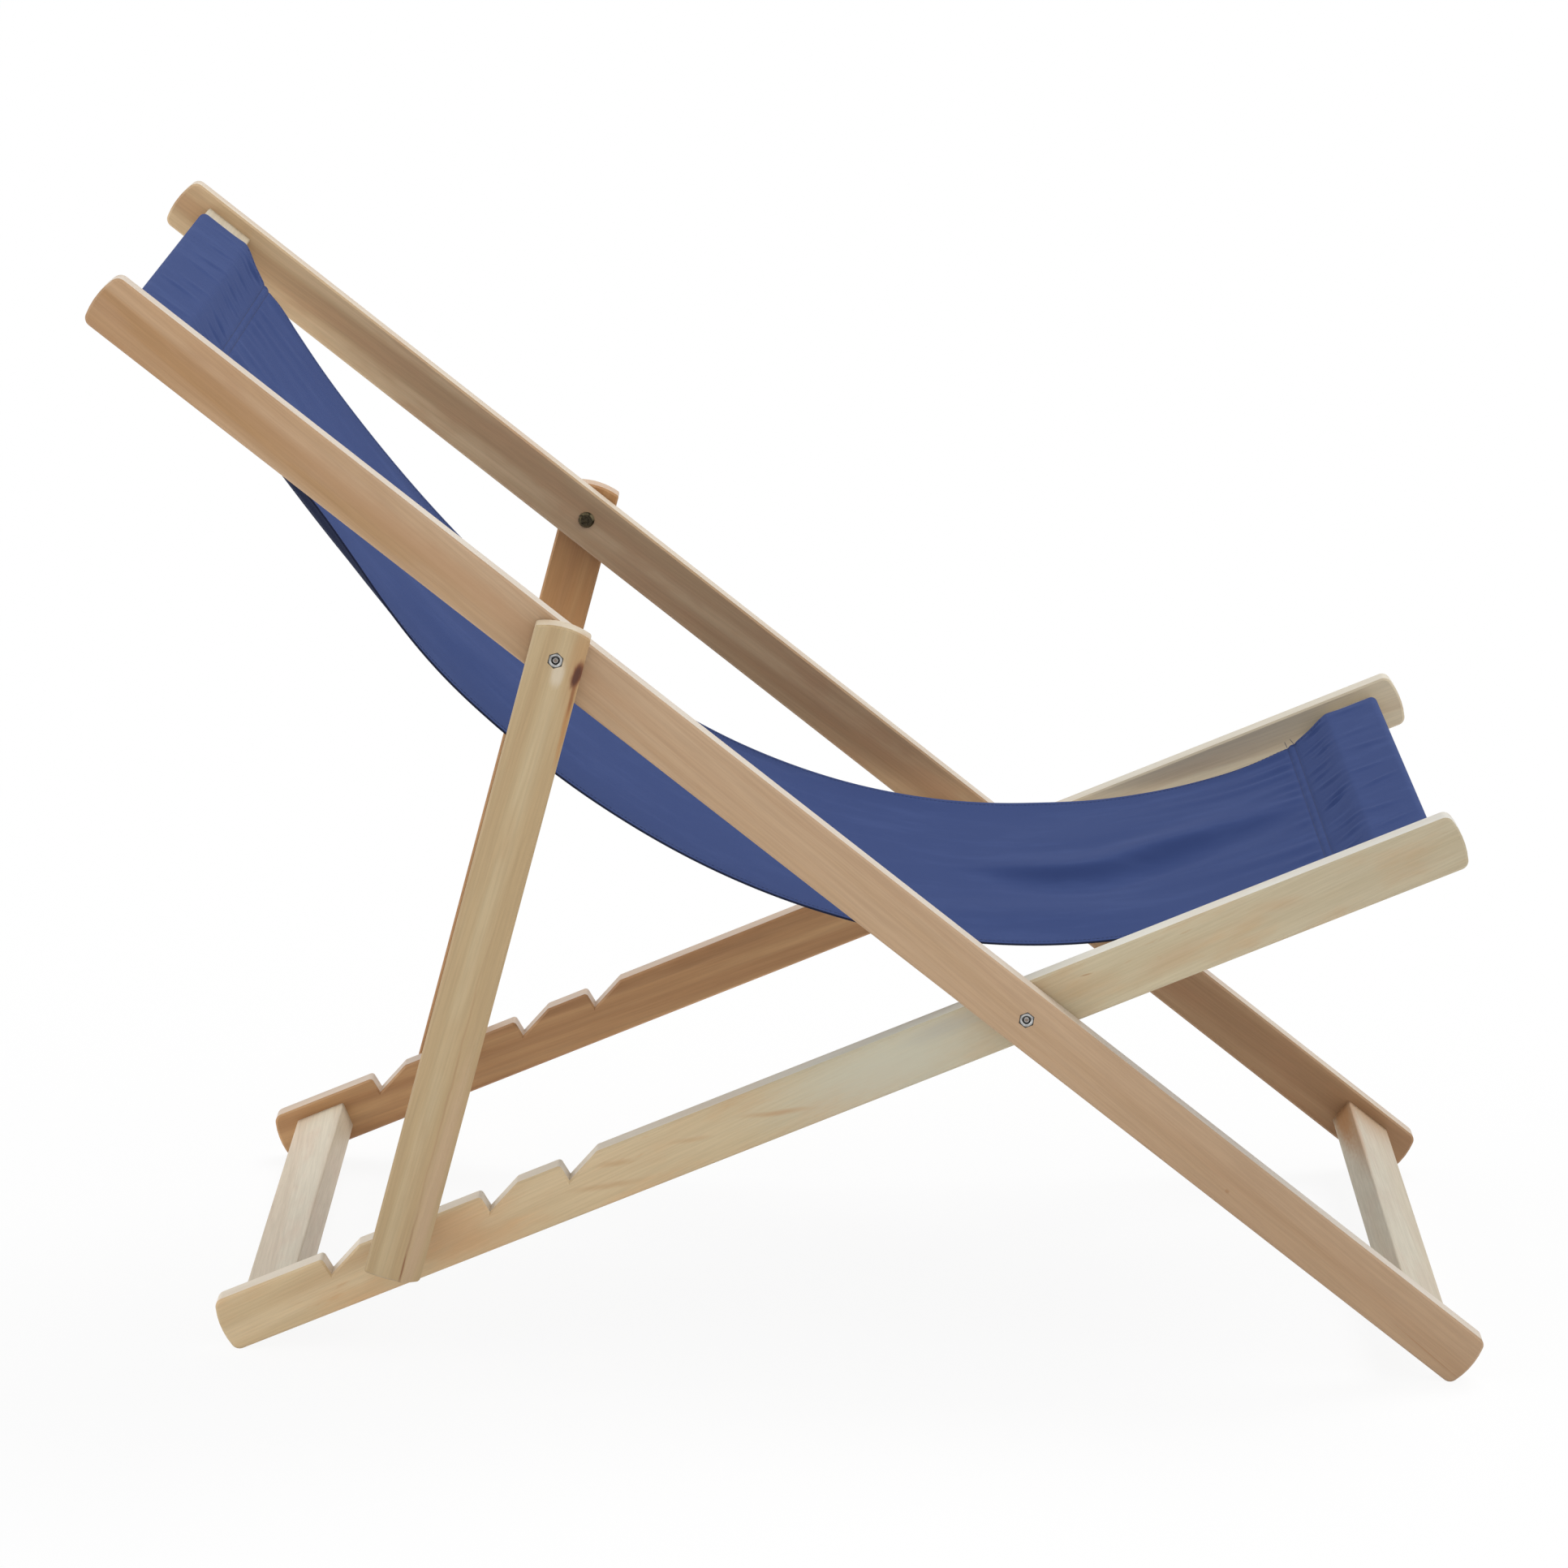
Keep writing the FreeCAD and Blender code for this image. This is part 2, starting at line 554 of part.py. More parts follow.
def add_bolts(doc, label, frame, depth):
    """Pair of bolts: low domed head with a hexagon socket inside, rounded tip outside."""
    body = new_body(doc, f"{label}_right")
    shank_sketch = new_sketch(body, f"{label}_shank_sketch")
    circle(shank_sketch, "shank", VALUES["bolt_diameter"] / 2, "Sizes.bolt_diameter / 2")
    reach = "2 * Sizes.plank_thickness + Sizes.washer_thickness + Sizes.nut_proud - Sizes.bolt_tip_sunk"
    pad(body, shank_sketch, f"{label}_shank", reach)
    head_sketch = new_sketch(body, f"{label}_head_sketch")
    circle(head_sketch, "head", VALUES["bolt_head_diameter"] / 2, "Sizes.bolt_head_diameter / 2")
    head = pad(body, head_sketch, f"{label}_head", "Sizes.bolt_head_height", True)
    doc.recompute()
    crown = VALUES["bolt_head_height"]
    top = bevel(body, head, f"{label}_dome", "Sizes.bolt_head_bevel",
                lambda edge: abs(edge.BoundBox.YMin - crown) < 1e-6)
    low = top.Shape.BoundBox.YMin
    bevel(body, top, f"{label}_tip", "Sizes.bolt_tip_bevel",
          lambda edge: abs(edge.BoundBox.YMax - low) < 1e-6)
    socket_sketch = new_sketch(body, f"{label}_socket_sketch", "-Sizes.bolt_head_height")
    hexagon(socket_sketch, VALUES["bolt_socket_width"], "Sizes.bolt_socket_width")
    pocket(body, socket_sketch, f"{label}_socket", "Sizes.bolt_socket_depth", True)
    place(body, frame, depth)
    keep_pair(doc, body, label)


def add_nuts(doc, label, frame, depth):
    """Pair of hexagon nuts with bevelled corners and a countersunk bore."""
    body = new_body(doc, f"{label}_right")
    outline = new_sketch(body, f"{label}_outline")
    hexagon(outline, VALUES["nut_width"], "Sizes.nut_width")
    pad(body, outline, f"{label}_block", "Sizes.nut_height")
    bore = new_sketch(body, f"{label}_bore_sketch")
    circle(bore, "bore", VALUES["bolt_diameter"] / 2 + VALUES["fit_gap"],
           "Sizes.bolt_diameter / 2 + Sizes.fit_gap")
    cut = pocket(body, bore, f"{label}_bore")
    doc.recompute()
    outer = -VALUES["nut_height"]
    bevel(body, cut, f"{label}_countersink", "Sizes.nut_countersink",
          lambda edge: len(edge.Vertexes) == 1 and abs(edge.BoundBox.YMin - outer) < 1e-6)

    # Triangle beside the outer face, turned about the bore to take the corners off.
    start = VALUES["nut_bevel_width"] / 2
    end = VALUES["nut_width"]
    fall = (end - start) * math.tan(math.radians(30))
    side = new_sketch(body, f"{label}_bevel_sketch", role="XY_Plane")
    first = closed_lines(side, [(start, outer), (end, outer), (end, outer + fall)])
    side.addConstraint(Sketcher.Constraint("Horizontal", first))
    side.addConstraint(Sketcher.Constraint("Vertical", first + 1))
    dimension(side, "start", "Sizes.nut_bevel_width / 2", "DistanceX", -1, 1, first, 1, start)
    dimension(side, "end", "Sizes.nut_width", "DistanceX", -1, 1, first, 2, end)
    dimension(side, "face", "Sizes.nut_height", "DistanceY", first, 1, -1, 1, -outer)
    dimension(side, "fall", "(Sizes.nut_width - Sizes.nut_bevel_width / 2) * tan(30)",
              "DistanceY", first + 1, 1, first + 1, 2, fall)
    groove = body.newObject("PartDesign::Groove", f"{label}_corners")
    groove.Profile = side
    groove.ReferenceAxis = (side, ["V_Axis"])
    groove.Angle = 360
    place(body, frame, depth)
    keep_pair(doc, body, label)


def add_washers(doc, label, frame, depth):
    """Pair of flat washers that keep neighbouring planks apart."""
    body = new_body(doc, f"{label}_right")
    sketch = new_sketch(body, f"{label}_sketch")
    circle(sketch, "rim", VALUES["washer_diameter"] / 2, "Sizes.washer_diameter / 2")
    circle(sketch, "bore", VALUES["bolt_diameter"] / 2 + 4 * VALUES["fit_gap"],
           "Sizes.bolt_diameter / 2 + 4 * Sizes.fit_gap")
    pad(body, sketch, f"{label}_disc", "Sizes.washer_thickness")
    place(body, frame, depth)
    keep_pair(doc, body, label)


def from_frame(frame, x, z):
    """Point of the seat or back frame in the chair's own frame, as (x, z)."""
    turn = math.radians(VALUES[f"{frame}_angle"])
    world_x = VALUES["pivot_x"] + x * math.cos(turn) + z * math.sin(turn)
    world_z = VALUES["pivot_z"] - x * math.sin(turn) + z * math.cos(turn)
    return world_x, world_z


def catenary(start, end, slack):
    """Hanging curve between two points that is longer than the straight line by the slack."""
    run = end[0] - start[0]
    climb = end[1] - start[1]
    length = math.hypot(run, climb) + slack
    target = math.sqrt(length ** 2 - climb ** 2) / run
    low = 1e-6
    high = 10.0
    for _ in range(100):
        middle = (low + high) / 2
        if math.sinh(middle) / middle < target:
            low = middle
        else:
            high = middle
    scale = run / (2 * low)
    centre = (start[0] + end[0]) / 2 - scale * math.atanh(climb / length)
    base = start[1] - scale * math.cosh((start[0] - centre) / scale)
    first = math.sinh((start[0] - centre) / scale)
    last = math.sinh((end[0] - centre) / scale)

    def at(share, offset):
        """Point at a share of the curve's length, moved off it by the offset along its normal."""
        slope = first + (last - first) * share
        x = centre + scale * math.asinh(slope)
        z = base + scale * math.sqrt(1 + slope ** 2)
        norm = math.sqrt(1 + slope ** 2)
        return FreeCAD.Vector(x - slope / norm * offset, 0, z + offset / norm)

    return at


def belt(circles):
    """Face inside a belt that runs round circles, given in counter-clockwise order as (x, z, radius)."""
    tangents = []
    count = len(circles)
    for i in range(count):
        x1, z1, r1 = circles[i]
        x2, z2, r2 = circles[(i + 1) % count]
        heading = math.atan2(z2 - z1, x2 - x1)
        normal = heading - math.pi / 2 + math.asin((r1 - r2) / math.hypot(x2 - x1, z2 - z1))
        leave = FreeCAD.Vector(x1 + r1 * math.cos(normal), 0, z1 + r1 * math.sin(normal))
        arrive = FreeCAD.Vector(x2 + r2 * math.cos(normal), 0, z2 + r2 * math.sin(normal))
        tangents.append((leave, arrive, normal))
    edges = []
    for i in range(count):
        before = tangents[i - 1]
        after = tangents[i]
        x, z, radius = circles[i]
        turn = (after[2] - before[2]) % (2 * math.pi)
        middle = before[2] + turn / 2
        bulge = FreeCAD.Vector(x + radius * math.cos(middle), 0, z + radius * math.sin(middle))
        edges.append(Part.Arc(before[1], bulge, after[0]).toShape())
        edges.append(Part.LineSegment(after[0], after[1]).toShape())
    return Part.Face(Part.Wire(edges))


def pocket_ring(frame, bar, seam):
    """Section of a sewn pocket: cloth round a bar, drawn together at the seam."""
    across = VALUES["plank_width"] / 2 - VALUES["bar_edge_round"]
    deep = VALUES["plank_thickness"] / 2 - VALUES["bar_edge_round"]
    way = 1 if seam[0] > bar else -1
    order = ((way, -way), (way, way), (-way, way), (-way, -way))
    corners = [from_frame(frame, bar + x * across, z * deep) for x, z in order]
    point = from_frame(frame, *seam)
    tip = VALUES["cloth_thickness"] / 4

    def face(grow):
        radius = VALUES["bar_edge_round"] + VALUES["pocket_gap"] + grow
        rounds = [(x, z, radius) for x, z in corners]
        return belt([rounds[0], (*point, tip + grow), rounds[1], rounds[2], rounds[3]])

    return face(VALUES["cloth_thickness"]), face(0.0)


def add_sling(doc):
    """Cloth seat: one length of canvas that hangs in a catenary between two sewn pockets."""
    top_bar = -VALUES["top_bar_reach"]
    front_bar = VALUES["front_bar_reach"]
    top_seam = (top_bar + VALUES["top_seam_reach"], -VALUES["top_seam_drop"])
    front_seam = (front_bar - VALUES["front_seam_reach"], -VALUES["front_seam_drop"])
    start = from_frame("back", *top_seam)
    end = from_frame("seat", *front_seam)
    at = catenary(start, end, VALUES["sling_slack"])
    half = VALUES["cloth_thickness"] / 2
    shares = [i / SLING_SPANS for i in range(SLING_SPANS + 1)]
    edges = []
    for i in range(SLING_SPANS):
        middle = (shares[i] + shares[i + 1]) / 2
        edges.append(Part.Arc(at(shares[i], half), at(middle, half), at(shares[i + 1], half)).toShape())
    edges.append(Part.LineSegment(at(1, half), at(1, -half)).toShape())
    for i in reversed(range(SLING_SPANS)):
        middle = (shares[i] + shares[i + 1]) / 2
        edges.append(Part.Arc(at(shares[i + 1], -half), at(middle, -half), at(shares[i], -half)).toShape())
    edges.append(Part.LineSegment(at(0, -half), at(0, half)).toShape())
    strip = Part.Face(Part.Wire(edges))
    top_outer, top_inner = pocket_ring("back", top_bar, top_seam)
    front_outer, front_inner = pocket_ring("seat", front_bar, front_seam)
    width = FreeCAD.Vector(0, VALUES["sling_width"], 0)
    cloth = strip.extrude(width).multiFuse([top_outer.extrude(width), front_outer.extrude(width)])
    cloth = cloth.cut([top_inner.extrude(width), front_inner.extrude(width)])
    item = doc.addObject("Part::Feature", "sling")
    item.Shape = cloth.removeSplitter().Solids[0]
    item.Placement = FreeCAD.Placement(FreeCAD.Vector(0, -VALUES["sling_width"] / 2, 0), FreeCAD.Rotation())
    keep(item, "sling")


def check_and_write(doc):
    """Stops on any failed object or shape, then writes one file for each piece."""
    doc.recompute()
    for item in doc.Objects:
        if "Invalid" in item.State or "Error" in item.State:
            raise RuntimeError(f"{item.Label} failed to build: {item.State}")
    for item in NODES:
        if item.Shape.isNull() or not item.Shape.isValid() or not item.Shape.Solids:
            raise RuntimeError(f"{item.Label} has no valid shape")
    os.makedirs("parts", exist_ok=True)
    for item in NODES:
        item.Shape.exportStep(f"parts/{item.Label}.step")
        print(f"{item.Label}: {len(item.Shape.Solids)} solids, {item.Shape.Volume / 1000:.2f} cm3")


def main():
    doc = FreeCAD.newDocument("deck_chair")
    fill_sheet(doc)
    add_seat_rails(doc)
    add_back_rails(doc)
    add_prop_legs(doc)
    add_prop_bar(doc)
    add_bar(doc, "back_top_bar", "back", "top_bar_reach", -1)
    add_bar(doc, "back_foot_bar", "back", "foot_bar_reach", 1)
    add_bar(doc, "seat_front_bar", "seat", "front_bar_reach", 1)
    add_bar(doc, "seat_rear_bar", "seat", "rear_bar_reach", -1)
    nut_seat = "Sizes.plank_thickness + Sizes.nut_proud - Sizes.nut_height"
    add_bolts(doc, "pivot_bolt", "back", "-Sizes.seat_half")
    add_nuts(doc, "pivot_nut", "back", f"-Sizes.back_half - ({nut_seat})")
    add_washers(doc, "pivot_washer", "back", "-Sizes.seat_half - Sizes.plank_thickness")
    add_bolts(doc, "prop_bolt", "prop", "-Sizes.back_half")
    add_nuts(doc, "prop_nut", "prop", f"-Sizes.prop_half - ({nut_seat})")
    add_washers(doc, "prop_washer", "prop", "-Sizes.back_half - Sizes.plank_thickness")
    add_sling(doc)
    check_and_write(doc)
    for name in ("back_angle", "seat_angle", "prop_angle", "pivot_x", "pivot_z", "prop_bolt_x", "prop_bolt_z"):
        print(f"{name} = {VALUES[name]:.4f}")


main()
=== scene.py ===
"""Looks of a folding wooden deck chair with a navy cloth sling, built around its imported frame."""
import json
import math
import random
from dataclasses import dataclass

import bpy
from mathutils import Matrix, Vector, noise


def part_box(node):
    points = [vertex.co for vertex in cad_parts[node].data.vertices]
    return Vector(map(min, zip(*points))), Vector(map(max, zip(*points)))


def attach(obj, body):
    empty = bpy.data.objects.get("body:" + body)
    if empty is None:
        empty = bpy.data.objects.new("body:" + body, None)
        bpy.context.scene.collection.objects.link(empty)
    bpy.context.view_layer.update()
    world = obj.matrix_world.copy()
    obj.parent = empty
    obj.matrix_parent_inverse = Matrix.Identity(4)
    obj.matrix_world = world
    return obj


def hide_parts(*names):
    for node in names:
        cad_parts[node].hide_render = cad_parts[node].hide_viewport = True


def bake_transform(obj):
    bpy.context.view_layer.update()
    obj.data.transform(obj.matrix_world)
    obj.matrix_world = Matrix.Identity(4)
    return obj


MM = 0.001

# Camera, fitted to the rails' edges and ends
CAMERA_PLACE = Vector((0.0026, -4.5485, 1.4313))
CAMERA_AIM = Vector((-0.0117, 0.0, 0.3873))
CAMERA_ROLL = math.radians(1.052)
CAMERA_LENS = 136.3
SENSOR = 36.0
CLIP_END = 200.0

# Light: lamps as power, width in degrees and the direction they come from
WHITE = (1, 1, 1)
SKY_LIGHT = 0.52
BACKGROUND_WHITE = 1.0
LAMPS = {
    "key": (1.35, 35, (0.3, 0.6, 1.0)),
    "camera_side": (0.45, 90, (0.3, -1.0, 0.45)),
    "front": (0.5, 60, (1.0, -0.15, 0.3)),
    "rear": (0.75, 60, (-1.0, -0.15, 0.45)),
}
FLOOR_SIZE = 90.0
FLOOR_DROP = 0.2 * MM
FLOOR_PALE = (0.93, 0.93, 0.93)
FLOOR_WHITE_SHARE = 0.9

# Planks
PLANK_THICKNESS = 22 * MM
PLANK_WIDTH = 42 * MM
PROP_BAR_OFFSET = 5 * MM
MARK_DEPTH = 9 * MM

# Cloth of the sling
CLOTH_THICKNESS = 0.8 * MM
CLOTH_WIDTH = 452 * MM
LAYER_STEP = 0.85 * MM
BAR_EDGE_ROUND = 1.5 * MM
POCKET_GAP = 0.9 * MM
POCKET_LOOSE = 1.2 * MM
SLACK = 96 * MM
TOP_SEAM_REACH = 55 * MM
TOP_SEAM_DROP = 5 * MM
FRONT_SEAM_REACH = 56 * MM
FRONT_SEAM_DROP = 1 * MM
SEAM_LAP = 11 * MM
HEM_WIDTH = 8 * MM
HEM_EASE = 7 * MM
LAP_EASE = 14 * MM
CUT_WIDTH = CLOTH_WIDTH + 2 * HEM_WIDTH
COLUMN_STEP = 3.5 * MM
RUN_STEP = 6.5 * MM
TENT_STEP = 3 * MM
SEAM_STEP = 1.6 * MM
POCKET_STEP = 4 * MM
CORNER_ROWS = 9
CORNER_LIFT = 1.2 * MM
CORNER_SPREAD = 10 * MM
ARC_STEPS = 5
HEM_STEPS = 3
SEAM_ROWS = 9
POCKET_SEAM_ROWS = 7
LAP_ROWS_BEFORE = 4
LAP_ROWS_AFTER = 8
POCKET_ROWS = 16
RUN_EASING = 6
CORNER_EASING = 8
TABLE_EASING = 8
PUCKER_REACH = 300 * MM
POCKET_REACH = 90 * MM

# Stitches
STITCH_ROW_GAP = 6.4 * MM
STITCH_PITCH = 3.4 * MM
STITCH_LENGTH = 2.7 * MM
STITCH_WIDTH = 0.75 * MM
STITCH_HEIGHT = 0.5 * MM
STITCH_LIFT = 0.08 * MM
HEM_STITCH_INSET = 6 * MM
SEAM_END_MARGIN = 4 * MM
THREAD_RADIUS = 0.25 * MM
# Points of a loose thread end in millimetres along its row and up: start with handles, and the tip's handles
THREAD_ROOT = ((-1.5, 0), (-3, 0), (2, 0))
THREAD_TIP = ((3, 3), (2, 8))

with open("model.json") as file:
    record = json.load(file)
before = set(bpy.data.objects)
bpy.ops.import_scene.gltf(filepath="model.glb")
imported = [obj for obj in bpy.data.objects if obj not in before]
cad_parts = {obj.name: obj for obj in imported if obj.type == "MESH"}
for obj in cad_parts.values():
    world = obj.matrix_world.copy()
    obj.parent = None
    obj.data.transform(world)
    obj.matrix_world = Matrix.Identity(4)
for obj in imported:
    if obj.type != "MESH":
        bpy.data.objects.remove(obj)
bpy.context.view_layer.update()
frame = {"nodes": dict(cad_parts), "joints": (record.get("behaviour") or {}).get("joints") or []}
draw = random.Random(11)


def middle(name):
    """Middle of a CAD node's box."""
    low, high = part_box(name)
    return (low + high) / 2


def joint_place(name):
    """Point on a joint's axis, in the middle of the chair."""
    joint = next(j for j in frame["joints"] if j["name"] == name)
    return Vector(joint["pos_m"])


PIVOT = joint_place("back_fold")
PROP_BOLT = joint_place("prop_swing")
PROP_BAR = middle("prop_bar")
TOP_BAR = middle("back_top_bar")
FRONT_BAR = middle("seat_front_bar")
CROSS_WAY = Vector((0, 1, 0))
BACK_WAY = (middle("back_foot_bar") - TOP_BAR).normalized()
SEAT_WAY = (FRONT_BAR - middle("seat_rear_bar")).normalized()
PROP_LEAN = math.asin(PROP_BAR_OFFSET / (PROP_BAR - PROP_BOLT).length)
PROP_WAY = Matrix.Rotation(PROP_LEAN, 3, "Y") @ (PROP_BAR - PROP_BOLT).normalized()


# Shader nodes, named without their common ShaderNode

class Net:
    """Node tree of a material, a group or the world. Its calls place a node and give its result."""

    def __init__(self, tree):
        self.tree = tree
        tree.nodes.clear()

    def fill(self, item, inputs):
        """Sets a node's inputs, or links them where a value is a socket."""
        for key, value in inputs.items():
            if isinstance(value, bpy.types.NodeSocket):
                self.tree.links.new(value, item.inputs[key])
            elif item.inputs[key].type == "RGBA":
                item.inputs[key].default_value = (*value, 1)
            else:
                item.inputs[key].default_value = value

    def add(self, kind, inputs=None, **settings):
        """New node with its properties and inputs."""
        item = self.tree.nodes.new("ShaderNode" + kind)
        for key, value in settings.items():
            setattr(item, key, value)
        self.fill(item, inputs or {})
        return item

    def math(self, operation, *values):
        return self.add("Math", dict(enumerate(values)), operation=operation).outputs[0]

    def times(self, first, second):
        return self.math("MULTIPLY", first, second)

    def vector(self, operation, *values):
        item = self.add("VectorMath", dict(enumerate(values)), operation=operation)
        return item.outputs["Value" if operation in ("LENGTH", "DOT_PRODUCT") else "Vector"]

    def parts(self, vector):
        return self.add("SeparateXYZ", {0: vector}).outputs

    def joined(self, *values):
        return self.add("CombineXYZ", dict(enumerate(values))).outputs[0]

    def step(self, value, low, high, start=0.0, end=1.0):
        """Smooth step from one result to another, while a value goes from low to high."""
        inputs = {"Value": value, "From Min": low, "From Max": high, "To Min": start, "To Max": end}
        return self.add("MapRange", inputs, interpolation_type="SMOOTHSTEP").outputs["Result"]

    def mix(self, factor, first, second, blend="MIX"):
        """Colour mixed from two others."""
        inputs = {0: factor, 6: first, 7: second}
        return self.add("Mix", inputs, data_type="RGBA", blend_type=blend).outputs[2]

    def noise(self, position, scale, detail=2.0, roughness=0.5, output="Fac"):
        """Noise that is stretched by a scale of three numbers."""
        stretched = self.vector("MULTIPLY", position, scale)
        inputs = {"Vector": stretched, "Scale": 1.0, "Detail": detail, "Roughness": roughness}
        return self.add("TexNoise", inputs, noise_dimensions="3D").outputs[output]

    def bump(self, height, strength, distance):
        """Normal from a height."""
        inputs = {"Height": height, "Strength": strength, "Distance": distance}
        return self.add("Bump", inputs).outputs["Normal"]

    def place(self, output):
        """Position or direction on the piece."""
        return self.add("TexCoord").outputs[output]

    def group(self, group, inputs):
        return self.add("Group", inputs, node_tree=group).outputs


def new_group(name, vectors, floats, results):
    """Empty shader group: its net, the sockets it is given and the node of its results."""
    tree = bpy.data.node_groups.new(name, "ShaderNodeTree")
    sockets = ((vectors, "Vector", "INPUT"), (floats, "Float", "INPUT"), (results, "Float", "OUTPUT"))
    for labels, kind, way in sockets:
        for label in labels:
            tree.interface.new_socket(label, in_out=way, socket_type="NodeSocket" + kind)
    net = Net(tree)
    return net, tree.nodes.new("NodeGroupInput").outputs, tree.nodes.new("NodeGroupOutput")


def new_material(name):
    """Material with a Principled shader: the material, its net and the shader."""
    material = bpy.data.materials.new(name)
    material.use_nodes = True
    net = Net(material.node_tree)
    shader = net.add("BsdfPrincipled")
    net.add("OutputMaterial", {"Surface": shader.outputs["BSDF"]})
    return material, net, shader


# Pine

def pine_figure():
    """Broad streaks, ring lines, mottling, flecks and fibres of planed pine, along the plank's X."""
    net, given, result = new_group(
        "pine_figure", ("Position", "Offset"), ("Slant", "Ring Width"),
        ("Streak", "Lines", "Mottle", "Fleck", "Fibre"))
    parts = net.parts(given["Position"])
    leaning = net.math("MULTIPLY_ADD", parts["X"], given["Slant"], parts["Z"])
    flat = net.joined(parts["X"], parts["Y"], leaning)
    place = net.vector("ADD", flat, given["Offset"])

    broad = net.noise(place, (1.3, 30.0, 58.0), 2.0, 0.4)
    fine = net.times(net.noise(place, (3.6, 85.0, 120.0)), 0.16)
    net.fill(result, {"Streak": net.math("MULTIPLY_ADD", broad, 0.84, fine)})

    sway = net.noise(place, (2.2, 9.0, 9.0), output="Color")
    sway = net.vector("SUBTRACT", sway, (0.5, 0.5, 0.5))
    sway = net.vector("MULTIPLY", sway, (0.0, 0.02, 0.02))
    bent = net.vector("ADD", flat, sway)
    offset = net.vector("SUBTRACT", bent, (0.0, 0.045, 0.03))
    offset = net.vector("MULTIPLY", offset, (0.01, 1.0, 1.0))
    count = net.math("DIVIDE", net.vector("LENGTH", offset), given["Ring Width"])
    phase = net.math("FRACT", count)
    rise = net.step(phase, 0.3, 0.88)
    fall = net.step(phase, 0.9, 1.0, 1.0, 0.0)
    year = net.add("TexWhiteNoise", {"W": net.math("FLOOR", count)}, noise_dimensions="1D")
    weather = net.math("MULTIPLY_ADD", year.outputs["Value"], 0.8, 0.2)
    patchy = net.step(net.noise(place, (5.0, 30.0, 30.0)), 0.35, 0.65, 0.25, 1.0)
    late = net.times(net.times(rise, fall), weather)
    net.fill(result, {"Lines": net.times(late, patchy)})

    net.fill(result, {"Mottle": net.noise(place, (11.0, 30.0, 38.0), 3.0, 0.6)})
    flecks = net.step(net.noise(place, (52.0, 330.0, 300.0)), 0.63, 0.72)
    grouped = net.step(net.noise(place, (8.0, 36.0, 40.0)), 0.5, 0.64)
    net.fill(result, {"Fleck": net.times(flecks, grouped)})
    net.fill(result, {"Fibre": net.noise(place, (20.0, 700.0, 700.0), 3.0, 0.6)})
    return net.tree


def narrow_faces():
    """Mask of a plank's narrow faces and ends, by the surface's own direction, where the painted sheen goes.
    """
    net, given, result = new_group("narrow_faces", ("Normal", "Along", "Across"), (), ("Mask",))
    end = net.vector("DOT_PRODUCT", given["Normal"], given["Along"])
    edge = net.vector("DOT_PRODUCT", given["Normal"], given["Across"])
    level = net.joined(end, edge)
    net.fill(result, {"Mask": net.step(net.vector("LENGTH", level), 0.86, 0.97)})
    return net.tree


def wood_mark():
    """Mask of one mark in the wood: a stretched, leaning and slightly wavy spot with a ragged rim."""
    net, given, result = new_group(
        "wood_mark", ("Position", "Place", "Size"), ("Slope", "Soft", "Wave"), ("Mask",))
    offset = net.vector("SUBTRACT", given["Position"], given["Place"])
    parts = net.parts(offset)
    wave = net.noise(given["Position"], (26.0, 0.0, 0.0))
    wave = net.times(net.math("SUBTRACT", wave, 0.5), given["Wave"])
    lean = net.math("MULTIPLY_ADD", parts["X"], given["Slope"], wave)
    across = net.math("SUBTRACT", parts["Z"], lean)
    flat = net.joined(parts["X"], parts["Y"], across)
    distance = net.vector("LENGTH", net.vector("DIVIDE", flat, given["Size"]))
    rough = net.math("SUBTRACT", net.noise(given["Position"], (110.0, 420.0, 420.0), 3.0), 0.5)
    distance = net.math("MULTIPLY_ADD", rough, 0.6, distance)
    inside = net.math("SUBTRACT", 1.0, given["Soft"])
    outside = net.math("ADD", 1.0, given["Soft"])
    net.fill(result, {"Mask": net.step(distance, inside, outside, 1.0, 0.0)})
    return net.tree


PINE_FIGURE = pine_figure()
NARROW_FACES = narrow_faces()
WOOD_MARK = wood_mark()


class Plank:
    """Frame of a wooden piece: its origin, its grain (X), its thickness (Y) and its width (Z)."""

    def __init__(self, node, along, across, origin=None):
        self.node = node
        self.along = along.normalized()
        self.across = (across - self.along * across.dot(self.along)).normalized()
        self.turn = Matrix((self.along, self.across.cross(self.along), self.across))
        self.origin = middle(node) if origin is None else Vector((origin.x, middle(node).y, origin.z))
        self.offset = Vector((draw.uniform(0, 9), draw.uniform(0, 3), draw.uniform(0, 3)))

    def position(self, net):
        """Position in the piece, from its bolt where it has one."""
        inputs = {"Vector": net.place("Object"), "Location": -(self.turn @ self.origin),
                  "Rotation": self.turn.to_euler()}
        return net.add("Mapping", inputs).outputs["Vector"]


@dataclass
class Pine:
    """Colours of one plank's pine, and how strongly each part of its figure shows. Pale is the share of
    painted sheen on its narrow faces and ends. A turn leads to a second colour along the plank, tints darken
    or lighten its broad faces and washes all its faces; where these are painted light, the plank's look says
    so."""
    light: tuple
    dark: tuple
    warm: tuple
    lines: float = 0.2
    flecks: float = 0.1
    slant: float = 0.03
    ring_width: float = 9 * MM
    pale: float = 0.5
    turn: tuple = ()
    tints: tuple = ()
    washes: tuple = ()


class Mark:
    """A mark in the wood: place along and across the plank, half sizes (all in millimetres), colour and
    strength. Its face is -1 or 1, or 0 for the middle of the thickness."""

    def __init__(self, along, across, size, colour, strength, slope=0.0, soft=0.9, wave=0.0, face=-1):
        self.colour = colour
        self.strength = strength
        self.inputs = {
            "Place": Vector((along * MM, face * PLANK_THICKNESS / 2, across * MM)),
            "Size": Vector((size[0] * MM, MARK_DEPTH, size[1] * MM)),
            "Slope": slope, "Soft": soft, "Wave": wave * MM,
        }
